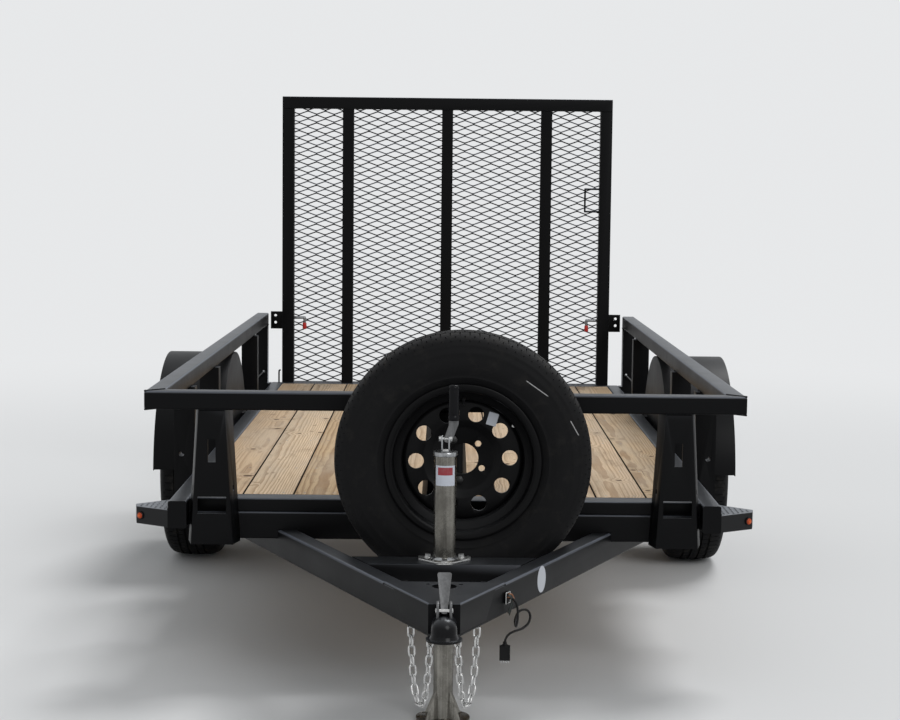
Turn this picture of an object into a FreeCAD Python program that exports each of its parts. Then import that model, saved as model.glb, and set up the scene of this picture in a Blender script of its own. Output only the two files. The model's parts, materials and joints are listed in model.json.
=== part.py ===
# Single-axle utility trailer with a fold-down rear gate, a spare wheel, a tongue jack and a coupler.
# Millimetres. x runs across, y rearward, z up from the ground. Left and right are the trailer's own,
# facing forward, so the left side is at positive x. y is 0 at the front face of the front top rail.
import FreeCAD, Part
import math
import os

# Steel sections, and how far a cutting tool runs past what it cuts
tube = 50.8
tube_tall = 76.2
plate = 6.35
sheet = 3.0
over = 1.0

# Main frame
deck_length = 3048.0
frame_half = 762.0
ride_rise = 164.0
board_thickness = 38.1
board_gap = 2.54
board_count = 10
board_end_gap = 3.0
front_member_y = 60.0
header_depth = 70.0
bay_count = 5

# Top rail and its posts
fender_rail_gap = 7.2
post_width = 63.5
post_depth = 50.0
front_post_y = 557.0
post_gap_front = 240.0
post_gap_rear = 220.0
post_hole_radius = 8.0
post_hole_rise = 48.0
post_hole_inset = 22.5
rear_post_width = 50.8

# Tapered uprights at the front
upright_inset = 70.2
upright_drop = 120.0
upright_foot_half = 58.0
upright_top_half = 36.0
upright_flare = 14.0
upright_plate = 5.0
slot_width = 21.0
slot_height = 64.0
slot_rise = 109.0
window_width = 79.0
window_height = 47.0
window_drop = 34.0
oval_rise = 33.0
oval_length = 17.0
oval_width = 9.0

# Wedge brackets at the front corners and their lamps
wedge_length = 190.0
wedge_reach = 104.0
wedge_near_reach = 96.0
wedge_near_y = 60.0
wedge_far_y = 100.0
wedge_drop = 26.0
wedge_height = 48.0
marker_radius = 10.0
marker_length = 8.0
marker_inset = 15.0

# Tongue
tongue_half = 436.0
tongue_nose_half = 30.0
tongue_nose_y = -853.0
jack_y = -335.0
jack_member_depth = 96.0
jack_member_ahead = 55.0

# Coupler and its lever
coupler_length = 232.0
coupler_leg_length = 183.0
coupler_leg_slant = 52.0
coupler_leg_drop = 64.0
coupler_hole_inset = 49.0
coupler_hole_radius = 30.0
coupler_bolt_circle = 46.0
coupler_bolt_radius = 5.5
coupler_bolt_turns = (30, 150, 270)
ball_ahead = 40.0
ball_drop = 46.1
ball_radius = 25.4
ball_clearance = 0.6
nose_radius = 30.0
nose_mouth_drop = 24.0
nose_lip_radius = 42.0
nose_lip_thickness = 5.0
nose_flare = 4.0
nose_flare_height = 10.0
lever_rise = 45.0
lever_length = 112.0
lever_near = 14.0
lever_far = 34.0
lever_plate = 4.0
lever_back = 12.0
lever_lift = 3.0
cheek_gap = 12.0
cheek_plate = 6.0
cheek_ahead = 10.0
cheek_behind = 22.0
cheek_height = 32.0
cheek_sink = 5.0
lever_pin_radius = 5.0
lever_pin_rise = 10.0
lever_pin_back = 6.0
lever_pin_end = 2.0

# Jack
jack_rise = 283.9
jack_drop = 73.1
jack_wall = 3.04
jack_cap_lip = 3.0
jack_cap_height = 16.0
jack_cap_wall = 6.0
jack_leg_radius = 25.4
jack_leg_clearance = 0.06
jack_leg_overlap = 94.0
jack_foot_radius = 70.0
jack_foot_thickness = 8.0
jack_web_thickness = 6.0
jack_web_height = 78.0
jack_web_inset = 8.0
jack_web_turns = (45, 135)
jack_hole_clearance = 2.6
flange_half = 68.0
flange_nose_half = 18.0
flange_front = 58.0
flange_shoulder = 4.0
flange_rear = 34.0
flange_thickness = 6.0
flange_bolt_side = 43.0
flange_bolt_back = 14.0
flange_bolt_front = 45.0
flange_bolt_radius = 8.0
flange_bolt_height = 9.0
crank_pivot_rise = 32.0
crank_pivot_radius = 4.0
crank_pivot_half = 18.0
crank_arm_low = 10.0
crank_arm_high = 12.0
crank_arm_plate = 10.0
clevis_half = 11.0
clevis_wall = 4.0
clevis_depth = 20.0
clevis_height = 41.0
clevis_base = 6.0
grip_x = 20.0
grip_rise = 79.0
grip_radius = 15.5
grip_length = 92.0
grip_overlap = 3.0

# Running gear
tyre_radius = 344.0
tyre_width = 203.0
tyre_tread_inset = 47.5
tyre_shoulder_inset = 8.5
tyre_shoulder_drop = 26.0
tyre_bulge_rise = 71.5
tyre_lower_inset = 5.5
tyre_lower_rise = 41.5
tyre_bead_inset = 8.1
tyre_flange_gap = 2.0
wheel_outset = 153.0
axle_setback = 276.0
axle_tube_radius = 30.0
spindle_radius = 17.0
hub_clearance = 0.05
rim_seat_radius = 190.5
rim_flange_height = 17.5
rim_well_depth = 28.5
rim_wall = 5.0
rim_half_width = 82.0
rim_lip = 3.0
rim_bead = 8.0
rim_seat_width = 28.0
rim_slope = 14.0
disc_thickness = 7.0
disc_dish = 16.0
disc_slope = 19.75
bolt_circle_radius = 57.15
pilot_radius = 41.5
hand_hole_radius = 20.75
hand_hole_inset = 36.5
hand_hole_margin = 1.0
hand_hole_count = 10
hand_hole_turn = 18.0
lug_count = 5
lug_turn = 90.0
lug_hole_radius = 8.5
lug_nut_radius = 11.0
lug_nut_length = 22.0
lug_stud_radius = 6.0
hub_flange_radius = 72.0
hub_flange_thickness = 12.0
hub_barrel_radius = 36.0
hub_depth = 70.0
hub_reach = 52.0
hub_cap_height = 12.0
hub_cap_step = 3.0
hub_cap_taper = 9.0
spindle_end_gap = 4.0
spindle_inset = 20.0
axle_hub_gap = 25.0

# Leaf springs below the axle
spring_half_width = 22.0
spring_half_length = 318.0
leaf_thickness = 7.0
leaf_shares = (1.0, 0.76, 0.52, 0.3)
spring_camber = 56.0
spring_seat_gap = 0.3
spring_pad_half = 20.0
spring_pad_height = 16.0
spring_pad_drop = 3.7
eye_radius = 12.0
hanger_plate = 5.0
hanger_half = 18.0
hanger_drop = 16.0
hanger_cap = 6.0
clamp_plate = 8.0
clamp_margin = 12.0
clamp_half_length = 50.0
clamp_rod_radius = 5.0
clamp_rod_gap = 2.0
clamp_rod_tail = 14.0
clamp_axle_gap = 6.0
clamp_bridge = 10.0

# Spare wheel and its bracket
spare_x = 47.0
spare_rail_gap = 6.5
spare_tongue_gap = 2.0
spare_hand_turn = 2.4
spare_lug_turn = 44.8
spare_open_lugs = (0, 4)
spare_nut_length = 14.0
bracket_seat_radius = 74.0
bracket_seat_plate = 8.0
bracket_arm_half = 38.0
bracket_arm_width = 76.0
bracket_back_plate = 8.0
bracket_back_half = 60.0

# Fenders
fender_gap = 20.0
fender_width = 240.0
fender_clearance = 66.0
fender_end_rise = 28.0
fender_roll = 20.0
fender_opening_half = 100.0
fender_tab_y = 270.0
fender_tab_half = 30.0
fender_tab_margin = 10.0

# Gate, its hinges and its latches
gate_inset = 45.0
gate_drop = 51.0
gate_height = 1296.0
gate_gap = 14.0
gate_bar_inset = 286.0
gate_bar_width = 48.0
mesh_inset = 8.0
mesh_thickness = 3.4
mesh_long_way = 152.4
mesh_short_way = 67.8
mesh_strand = 11.0
mesh_strand_rise = 5.6
hinge_back = 43.0
hinge_drop = 22.0
hinge_inset = 157.0
knuckle_radius = 15.0
knuckle_length = 60.0
knuckle_web = 12.0
hinge_pin_radius = 8.0
hinge_pin_end = 4.0
hinge_clearance = 0.05
hinge_plate = 10.0
hinge_plate_radius = 13.0
hinge_arm_height = 24.0
hinge_side_gap = 1.0
latch_rise = 282.0
latch_rod_radius = 6.0
latch_reach = 46.0
latch_drop = 22.0
latch_end = 44.0
latch_cap_radius = 9.0
latch_cap_length = 28.0
ear_reach = 50.0
ear_plate = 6.0
ear_setback = 4.0
ear_above = 28.0
ear_below = 48.0
ear_hole_radius = 6.0
ear_hole_x = 29.0
ear_hole_rises = (-20.0, 10.0)
handle_rise = 811.0
handle_height = 98.0
handle_radius = 4.0
handle_out = 62.0
handle_setback = 20.0

# Tail lamps
tail_lamp_rise = 52.0
tail_lamp_height = 140.0
tail_lamp_depth = 18.0
tail_lamp_margin = 3.0

# Safety chains: where each hangs from its tongue rail, and the size of a link
chain_end_backs = (163.0, 63.0)
chain_tolerance = 0.0001
link_length = 23.6
link_seat = 0.3
link_wire = 4.2
link_gap = 11.0
link_chamfer = 0.45
link_count = 17

# Wiring
cord_radius = 3.0
cord_bend = 0.45
grommet_y = -598.0
grommet_z = 384.0
grommet_thickness = 6.0
grommet_half_width = 11.0
grommet_half_height = 13.5
grommet_hole_clearance = 0.5
plug_half_width = 13.0
plug_half_thickness = 6.0
plug_length = 37.0
plug_pin_radius = 2.0
plug_pin_length = 7.0
plug_pin_pitch = 6.0
plug_pin_count = 4
cord_exit_run = 12.0
cord_bends = (
    (171.1, -606.7, 378.8), (176.9, -607.9, 369.7), (179.2, -607.1, 354.9), (180, -602, 336), (179, -591, 318),
    (177.5, -570, 304), (176.5, -546, 301), (175.2, -529, 313), (185.6, -520.8, 333.5), (206.4, -505.2, 333.5),
    (216.8, -497.4, 316), (212, -501, 296.5), (196, -514, 285.5), (174, -531, 283), (161.1, -541.1, 278.6),
    (154.1, -546.6, 270.6), (151, -549, 260.9),
)
plug_top = (151.0, -549.0, 251.4)

# Heights, from the deck down to the ground and up to the rail
wheel_z = tyre_radius
frame_top = wheel_z + ride_rise
fender_radius = tyre_radius + fender_clearance
deck_under = frame_top - board_thickness
frame_bottom = frame_top - tube_tall
front_member_bottom = deck_under - tube_tall
cross_bottom = deck_under - tube
tongue_top = cross_bottom
tongue_bottom = tongue_top - tube_tall
rail_bottom = wheel_z + fender_radius + fender_rail_gap
rail_top = rail_bottom + tube
upright_foot_z = frame_top - upright_drop

# Places across the trailer
inner_half = frame_half - tube
rail_half = frame_half + post_width
rail_in = rail_half - tube
wheel_track_half = frame_half + wheel_outset
gate_half = frame_half - gate_inset
gate_in = gate_half - tube
hinge_xs = (hinge_inset - gate_half, gate_half - hinge_inset)

# Places along the trailer
bay = deck_length / bay_count
crossmember_ys = [bay * index for index in range(1, bay_count)]
header_rear = front_member_y + header_depth
axle_y = deck_length / 2 + axle_setback
post_ys = (front_post_y, axle_y - fender_radius - post_gap_front, axle_y + fender_radius + post_gap_rear)
gate_front_y = deck_length + gate_gap
gate_back_y = gate_front_y + tube
mesh_y = gate_back_y - mesh_inset
hinge_y = gate_front_y + hinge_back
tongue_rear_y = crossmember_ys[0] + tube / 2
tongue_slope = (tongue_half - tongue_nose_half) / -tongue_nose_y
tongue_angle = math.atan(tongue_slope)
tongue_skew = tube / math.cos(tongue_angle)
ball_y = tongue_nose_y - ball_ahead
ball_z = tongue_top - ball_drop
rear_y = hinge_y + knuckle_radius
middle_y = (ball_y - nose_lip_radius + rear_y) / 2

sides = (("left", 1), ("right", -1))

os.makedirs("parts", exist_ok=True)


def vec(x, y, z):
    return FreeCAD.Vector(x, y, z)


def box(x0, x1, y0, y1, z0, z1):
    return Part.makeBox(x1 - x0, y1 - y0, z1 - z0, vec(x0, y0, z0))


def rod(point, direction, radius, length):
    return Part.makeCylinder(radius, length, vec(*point), vec(*direction))


def prism(points, along):
    wire = Part.makePolygon([vec(*p) for p in points] + [vec(*points[0])])
    return Part.Face(wire).extrude(vec(*along))


def plan(points, z0, z1):
    return prism([(x, y, z0) for x, y in points], (0, 0, z1 - z0))


def mirrored(shape):
    return shape.mirror(vec(0, 0, 0), vec(1, 0, 0))


def on_side(shape, sign):
    return shape if sign > 0 else mirrored(shape)


def fused(shapes):
    if len(shapes) == 1:
        return shapes[0]
    return shapes[0].multiFuse(shapes[1:]).removeSplitter()


def save(name, shapes):
    placed = []
    for shape in shapes:
        piece = shape.copy()
        piece.translate(vec(0, -middle_y, 0))
        placed.append(piece)
    whole = placed[0] if len(placed) == 1 else Part.makeCompound(placed)
    whole.exportStep("parts/" + name + ".step")


def tongue_x(y):
    return tongue_half + tongue_slope * y


# Side rails, crossmembers, deck stop and deck
for name, sign in sides:
    rail = box(inner_half, frame_half, 0, deck_length, frame_bottom, frame_top)
    save("side_rail_" + name, [on_side(rail, sign)])

members = [box(-inner_half, inner_half, front_member_y, front_member_y + tube, front_member_bottom, deck_under)]
for y in crossmember_ys:
    members.append(box(-inner_half, inner_half, y - tube / 2, y + tube / 2, cross_bottom, deck_under))
members.append(box(-inner_half, inner_half, deck_length - tube, deck_length, frame_bottom, frame_top))
save("crossmembers", members)
save("front_header", [box(-inner_half, inner_half, front_member_y, header_rear, deck_under, frame_top)])

board_pitch = 2 * inner_half / board_count
board_half = (board_pitch - board_gap) / 2
board_start = header_rear + board_end_gap
board_end = deck_length - tube - board_end_gap
boards = []
for index in range(board_count):
    centre = -inner_half + board_pitch * (index + 0.5)
    boards.append(box(centre - board_half, centre + board_half, board_start, board_end, deck_under, frame_top))
save("deck_boards", boards)

# Top rail, mitred at the two front corners
front_plan = [(-rail_half, 0), (rail_half, 0), (rail_in, tube), (-rail_in, tube)]
save("top_rail_front", [plan(front_plan, rail_bottom, rail_top)])
side_plan = [(rail_half, 0), (rail_half, deck_length), (rail_in, deck_length), (rail_in, tube)]
for name, sign in sides:
    save("top_rail_" + name, [on_side(plan(side_plan, rail_bottom, rail_top), sign)])

# Posts between the side rail and the top rail; the rear one stands on a short foot
rear_post_x = rail_half - rear_post_width
for name, sign in sides:
    posts = []
    for y in post_ys:
        post = box(frame_half, rail_half, y, y + post_depth, frame_bottom, rail_bottom)
        if y == front_post_y:
            centre = (rail_half - post_hole_inset, y - over, frame_top + post_hole_rise)
            post = post.cut(rod(centre, (0, 1, 0), post_hole_radius, post_depth + 2 * over))
        posts.append(post)
    rear = box(rear_post_x, rail_half, deck_length - tube, deck_length, frame_bottom, rail_bottom)
    foot = box(frame_half, rear_post_x, deck_length - tube, deck_length, frame_bottom, frame_top)
    posts.append(fused([rear, foot]))
    save("side_posts_" + name, [on_side(post, sign) for post in posts])


# Tapered channel with splayed flanges, open to the rear; a row is its front and back half widths
def channel_row(face_half, inset):
    step = inset * math.hypot(front_member_y, upright_flare) / front_member_y
    front_half = face_half + upright_flare / front_member_y * inset - step
    return front_half, face_half + upright_flare - step, inset


def frustum(foot, top):
    rows = []
    for (front_half, back_half, front), z in ((foot, upright_foot_z), (top, rail_bottom)):
        rows.append([vec(-front_half, front, z), vec(front_half, front, z),
                     vec(back_half, front_member_y, z), vec(-back_half, front_member_y, z)])
    outlines = list(rows)
    for index in range(4):
        after = (index + 1) % 4
        outlines.append([rows[0][index], rows[0][after], rows[1][after], rows[1][index]])
    faces = [Part.Face(Part.makePolygon(outline + [outline[0]])) for outline in outlines]
    return Part.makeSolid(Part.makeShell(faces))


def face_opening(width, height, bottom):
    return box(-width / 2, width / 2, -over, upright_plate + over, bottom, bottom + height)


def upright(centre, windowed):
    outer = frustum(channel_row(upright_foot_half, 0), channel_row(upright_top_half, 0))
    inner = frustum(channel_row(upright_foot_half, upright_plate), channel_row(upright_top_half, upright_plate))
    shape = outer.cut(inner)
    if windowed:
        shape = shape.cut(face_opening(slot_width, slot_height, frame_top + slot_rise))
        shape = shape.cut(face_opening(window_width, window_height, frame_top - window_drop))
        reach = upright_foot_half + upright_flare + over
        half = (oval_length - oval_width) / 2
        middle = front_member_y / 2
        oval_z = frame_top + oval_rise
        for end in (-half, half):
            shape = shape.cut(rod((-reach, middle, oval_z + end), (1, 0, 0), oval_width / 2, 2 * reach))
        low = middle - oval_width / 2
        shape = shape.cut(box(-reach, reach, low, low + oval_width, oval_z - half, oval_z + half))
    shape.translate(vec(centre, 0, 0))
    return shape


for name, sign in sides:
    save("corner_upright_" + name, [upright(sign * (inner_half - upright_inset), True)])
save("centre_upright", [upright(0, False)])

# Wedge brackets at the front corners, with a round lamp on each
wedge_top = frame_top - wedge_drop
wedge_plan = [(frame_half, 0), (frame_half + wedge_near_reach, wedge_near_y),
              (frame_half + wedge_reach, wedge_far_y), (frame_half, wedge_length)]
wedge = plan(wedge_plan, wedge_top - wedge_height, wedge_top)
run = vec(wedge_near_reach, wedge_near_y, 0).normalize()
seat = vec(frame_half + wedge_near_reach, wedge_near_y, wedge_top - wedge_height / 2) - run * marker_inset
marker = Part.makeCylinder(marker_radius, marker_length, seat, vec(run.y, -run.x, 0))
save("step_wedges", [on_side(wedge, sign) for name, sign in sides])
save("marker_lamps", [on_side(marker, sign) for name, sign in sides])

# Tongue rails, coped under the front crossmember, and the crossmember that carries the jack
mitre_y = -(tongue_half - tongue_skew) / tongue_slope
rear_x = tongue_x(tongue_rear_y)
tongue_plan = [(tongue_nose_half, tongue_nose_y), (rear_x, tongue_rear_y),
               (rear_x - tongue_skew, tongue_rear_y), (0, mitre_y), (0, tongue_nose_y)]
tongue_rail = plan(tongue_plan, tongue_bottom, tongue_top)
tongue_rail = tongue_rail.cut(box(0, inner_half, front_member_y, front_member_y + tube, front_member_bottom,
                                  tongue_top + over))
tongue_rails = [on_side(tongue_rail, sign) for name, sign in sides]
for (name, sign), rail in zip(sides, tongue_rails):
    save("tongue_rail_" + name, [rail])

jack_tube_radius = jack_leg_radius + jack_leg_clearance + jack_wall
jack_front = jack_y - jack_member_ahead
jack_rear = jack_front + jack_member_depth
front_x = tongue_x(jack_front) - tongue_skew
back_x = tongue_x(jack_rear) - tongue_skew
member = plan([(-front_x, jack_front), (front_x, jack_front), (back_x, jack_rear), (-back_x, jack_rear)],
              tongue_bottom, tongue_top)
well_radius = jack_tube_radius + jack_hole_clearance
well = rod((0, jack_y, tongue_bottom - over), (0, 0, 1), well_radius, tube_tall + 2 * over)
save("tongue_crossmember", [member.cut(well)])

# Coupler: a plate over the two rails, a slanted leg down each and a domed nose with the ball socket
skin = plate / math.cos(tongue_angle)
coupler_rear_y = tongue_nose_y + coupler_length
coupler_hole_y = coupler_rear_y - coupler_hole_inset
cap_half = tongue_x(coupler_rear_y) + skin
nose_half = tongue_x(tongue_nose_y) + skin
coupler_top = tongue_top + plate
coupler_low = tongue_top - coupler_leg_drop
top_plate = plan([(-cap_half, coupler_rear_y), (-nose_half, tongue_nose_y), (nose_half, tongue_nose_y),
                  (cap_half, coupler_rear_y)], tongue_top, coupler_top)
top_plate = top_plate.cut(rod((0, coupler_hole_y, tongue_top - over), (0, 0, 1), coupler_hole_radius,
                              plate + 2 * over))
for turn in coupler_bolt_turns:
    x = coupler_bolt_circle * math.cos(math.radians(turn))
    y = coupler_hole_y + coupler_bolt_circle * math.sin(math.radians(turn))
    top_plate = top_plate.cut(rod((x, y, tongue_top - over), (0, 0, 1), coupler_bolt_radius, plate + 2 * over))

leg_top_y = tongue_nose_y + coupler_leg_length
leg_low_y = leg_top_y - coupler_leg_slant
leg_side = [(0, tongue_nose_y, coupler_low), (0, leg_low_y, coupler_low), (0, leg_top_y, coupler_top),
            (0, tongue_nose_y, coupler_top)]
leg = plan([(tongue_x(leg_top_y), leg_top_y), (tongue_x(leg_top_y) + skin, leg_top_y),
            (nose_half, tongue_nose_y), (nose_half - skin, tongue_nose_y)], coupler_low, coupler_top)
leg = leg.common(prism(leg_side, (cap_half, 0, 0)))
front_wall = box(-nose_half, nose_half, tongue_nose_y - plate, tongue_nose_y, coupler_low, coupler_top)

mouth_z = ball_z - nose_mouth_drop
nose = rod((0, ball_y, mouth_z), (0, 0, 1), nose_radius, ball_z - mouth_z)
dome = Part.makeSphere(nose_radius, vec(0, ball_y, ball_z))
lip = rod((0, ball_y, mouth_z), (0, 0, 1), nose_lip_radius, nose_lip_thickness)
flare = Part.makeCone(nose_radius + nose_flare, nose_radius, nose_flare_height,
                      vec(0, ball_y, mouth_z + nose_lip_thickness), vec(0, 0, 1))
neck_low = box(-nose_radius, nose_radius, ball_y, tongue_nose_y, mouth_z, ball_z)
neck_high = rod((0, ball_y, ball_z), (0, 1, 0), nose_radius, ball_ahead)
body = fused([top_plate, leg, mirrored(leg), front_wall, nose, dome, lip, flare, neck_low, neck_high])
socket = Part.makeSphere(ball_radius + ball_clearance, vec(0, ball_y, ball_z))
throat = rod((0, ball_y, mouth_z - over), (0, 0, 1), ball_radius + ball_clearance, ball_z - mouth_z + over)
coupler = body.cut(socket).cut(throat).cut(Part.makeCompound(tongue_rails))
save("coupler", [coupler])

# Lever that locks the socket, between two cheeks on the neck
lever_y = ball_y + lever_back
neck_top = ball_z + nose_radius
lever = prism([(-lever_near / 2, 0, 0), (lever_near / 2, 0, 0), (lever_far / 2, lever_length, 0),
               (-lever_far / 2, lever_length, 0)], (0, 0, lever_plate))
lever.rotate(vec(0, 0, 0), vec(1, 0, 0), lever_rise)
lever.translate(vec(0, lever_y, neck_top + lever_lift))
cheek = box(cheek_gap, cheek_gap + cheek_plate, lever_y - cheek_ahead, lever_y + cheek_behind,
            neck_top - cheek_sink, neck_top + cheek_height)
pin_half = cheek_gap + cheek_plate + lever_pin_end
pin_start = (-pin_half, lever_y + lever_pin_back, neck_top + lever_pin_rise)
pin = rod(pin_start, (1, 0, 0), lever_pin_radius, 2 * pin_half)
save("coupler_lever", [fused([lever, pin, cheek, mirrored(cheek)]).cut(coupler)])

# Jack: outer tube with its flange and bolts, and the leg that slides in the tube
jack_top = tongue_top + jack_rise
jack_low = tongue_top - jack_drop
flange_plan = [(-flange_half, jack_y - flange_shoulder), (-flange_nose_half, jack_y - flange_front),
               (flange_nose_half, jack_y - flange_front), (flange_half, jack_y - flange_shoulder),
               (flange_half, jack_y + flange_rear), (-flange_half, jack_y + flange_rear)]
flange = plan(flange_plan, tongue_top, tongue_top + flange_thickness)
outer = rod((0, jack_y, jack_low), (0, 0, 1), jack_tube_radius, jack_top - jack_low - jack_cap_height / 2)
cap = rod((0, jack_y, jack_top - jack_cap_height), (0, 0, 1), jack_tube_radius + jack_cap_lip, jack_cap_height)
bore = rod((0, jack_y, jack_low - over), (0, 0, 1), jack_leg_radius + jack_leg_clearance,
           jack_top - jack_low - jack_cap_wall + over)
bolts = []
bolt_places = (
    (-flange_bolt_side, flange_bolt_back), (flange_bolt_side, flange_bolt_back), (0, -flange_bolt_front),
)
for x, back in bolt_places:
    bolts.append(rod((x, jack_y + back, tongue_top), (0, 0, 1), flange_bolt_radius,
                     flange_thickness + flange_bolt_height))
save("jack_body", [fused([flange, outer, cap] + bolts).cut(bore)])

leg_tube = rod((0, jack_y, 0), (0, 0, 1), jack_leg_radius, jack_low + jack_leg_overlap)
foot = rod((0, jack_y, 0), (0, 0, 1), jack_foot_radius, jack_foot_thickness)
web_half = jack_foot_radius - jack_web_inset
webs = []
for turn in jack_web_turns:
    web = prism([(-web_half, -jack_web_thickness / 2, jack_foot_thickness),
                 (web_half, -jack_web_thickness / 2, jack_foot_thickness),
                 (jack_leg_radius, -jack_web_thickness / 2, jack_web_height),
                 (-jack_leg_radius, -jack_web_thickness / 2, jack_web_height)], (0, jack_web_thickness, 0))
    web.rotate(vec(0, 0, 0), vec(0, 0, 1), turn)
    web.translate(vec(0, jack_y, 0))
    webs.append(web)
save("jack_leg", [fused([leg_tube, foot] + webs)])

# Crank, folded up: a clevis on the cap, a leaning arm and an upright grip
grip_base = jack_top + grip_rise
pivot_z = jack_top + crank_pivot_rise
arm = prism([(-crank_arm_low / 2, jack_y - crank_arm_plate / 2, pivot_z),
             (crank_arm_low / 2, jack_y - crank_arm_plate / 2, pivot_z - crank_pivot_radius),
             (grip_x + crank_arm_high / 2, jack_y - crank_arm_plate / 2, grip_base + grip_overlap),
             (grip_x - crank_arm_high / 2, jack_y - crank_arm_plate / 2, grip_base + grip_overlap)],
            (0, crank_arm_plate, 0))
front = jack_y - clevis_depth / 2
clevis_side = box(clevis_half - clevis_wall, clevis_half, front, front + clevis_depth, jack_top,
                  jack_top + clevis_height)
clevis_floor = box(-clevis_half, clevis_half, front, front + clevis_depth, jack_top, jack_top + clevis_base)
pivot = rod((-crank_pivot_half, jack_y, pivot_z), (1, 0, 0), crank_pivot_radius, 2 * crank_pivot_half)
grip = rod((grip_x, jack_y, grip_base), (0, 0, 1), grip_radius, grip_length)
save("jack_crank", [fused([arm, clevis_side, mirrored(clevis_side), clevis_floor, pivot]).cut(grip)])
save("jack_grip", [grip])


# Wheels: every profile is turned about the x axis, with the mounting face at x = 0 and the outside at
# positive x. A profile's points are x and radius; a half profile runs from the bead or lip to the middle.
def turned(profile):
    wire = Part.makePolygon([vec(x, 0, r) for x, r in profile] + [vec(profile[0][0], 0, profile[0][1])])
    return Part.Face(wire).revolve(vec(0, 0, 0), vec(1, 0, 0), 360)


def both_ways(half_profile):
    return half_profile + [(-x, r) for x, r in reversed(half_profile)]


tyre_half = tyre_width / 2
tread_half = tyre_half - tyre_tread_inset
rim_flange_radius = rim_seat_radius + rim_flange_height
rim_well_radius = rim_seat_radius - rim_well_depth
hand_hole_circle = rim_well_radius - hand_hole_inset


def make_tyre():
    bead = rim_half_width - tyre_bead_inset
    return turned(both_ways([(bead, rim_seat_radius),
                             (bead + tyre_flange_gap, rim_flange_radius + tyre_flange_gap),
                             (tyre_half - tyre_lower_inset, rim_seat_radius + tyre_lower_rise),
                             (tyre_half, rim_seat_radius + tyre_bulge_rise),
                             (tyre_half - tyre_shoulder_inset, tyre_radius - tyre_shoulder_drop),
                             (tread_half, tyre_radius)]))


def round_holes(circle, count, first_turn, radius, reach):
    holes = []
    for index in range(count):
        angle = math.radians(first_turn + 360 / count * index)
        centre = (-over, circle * math.cos(angle), circle * math.sin(angle))
        holes.append(rod(centre, (1, 0, 0), radius, reach + 2 * over))
    return holes


def make_rim(hand_turn, first_lug):
    seat_end = rim_half_width - rim_seat_width
    well_end = seat_end - rim_slope
    outside = both_ways([(rim_half_width, rim_flange_radius), (rim_half_width - rim_lip, rim_flange_radius),
                         (rim_half_width - rim_bead, rim_seat_radius), (seat_end, rim_seat_radius),
                         (well_end, rim_well_radius + rim_wall)])
    inside = both_ways([(rim_half_width, rim_seat_radius - rim_wall), (seat_end, rim_seat_radius - rim_wall),
                        (well_end, rim_well_radius)])
    dish_end = hand_hole_circle - hand_hole_radius - hand_hole_margin
    dish_start = dish_end - disc_slope
    disc_edge = rim_well_radius + rim_wall / 2
    reach = disc_dish + disc_thickness
    disc = turned([(0, pilot_radius), (0, dish_start), (disc_dish, dish_end), (disc_dish, disc_edge),
                   (reach, disc_edge), (reach, dish_end), (disc_thickness, dish_start),
                   (disc_thickness, pilot_radius)])
    holes = round_holes(hand_hole_circle, hand_hole_count, hand_turn, hand_hole_radius, reach)
    holes += round_holes(bolt_circle_radius, lug_count, first_lug, lug_hole_radius, reach)
    return fused([turned(outside + inside[::-1]), disc.cut(Part.makeCompound(holes))])


def lug_points(first_lug):
    angles = [math.radians(first_lug + 360 / lug_count * index) for index in range(lug_count)]
    return [(bolt_circle_radius * math.cos(angle), bolt_circle_radius * math.sin(angle)) for angle in angles]


def hexagon(centre_y, centre_z, length):
    corners = []
    for index in range(6):
        angle = math.radians(60 * index)
        corners.append((disc_thickness, centre_y + lug_nut_radius * math.cos(angle),
                        centre_z + lug_nut_radius * math.sin(angle)))
    return prism(corners, (length, 0, 0))


cap_start = hub_reach - hub_cap_height
for name, sign in sides:
    barrel = rod((-hub_depth, 0, 0), (1, 0, 0), hub_barrel_radius, cap_start + hub_depth)
    hub_flange = rod((-hub_flange_thickness, 0, 0), (1, 0, 0), hub_flange_radius, hub_flange_thickness)
    cap_radius = hub_barrel_radius - hub_cap_step
    dust_cap = Part.makeCone(cap_radius, cap_radius - hub_cap_taper, hub_cap_height, vec(cap_start, 0, 0),
                             vec(1, 0, 0))
    nuts = [hexagon(y, z, lug_nut_length) for y, z in lug_points(lug_turn)]
    stud_length = disc_thickness + 2 * over
    studs = [rod((-over, y, z), (1, 0, 0), lug_stud_radius, stud_length) for y, z in lug_points(lug_turn)]
    hub_bore = rod((-hub_depth - over, 0, 0), (1, 0, 0), spindle_radius + hub_clearance,
                   cap_start + hub_depth - spindle_end_gap + over)
    hub = fused([barrel, hub_flange, dust_cap] + nuts + studs).cut(hub_bore)
    for kind, shape in (("tyre", make_tyre()), ("rim", make_rim(hand_hole_turn, lug_turn)), ("hub", hub)):
        shape.translate(vec(wheel_track_half, axle_y, wheel_z))
        save("wheel_" + name + "_" + kind, [on_side(shape, sign)])

# Spare wheel, turned so that its outside faces forward, on a bracket with three nuts. It hangs as low as
# its tread clears the left tongue rail.
spare_y = -tyre_half - spare_rail_gap
spare_chord = tongue_x(spare_y - tread_half) - tongue_skew - spare_x - spare_tongue_gap
spare_z = tongue_top + math.sqrt(tyre_radius ** 2 - spare_chord ** 2)


def to_spare(shape):
    shape.rotate(vec(0, 0, 0), vec(0, 0, 1), -90)
    shape.translate(vec(spare_x, spare_y, spare_z))
    return shape


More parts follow.
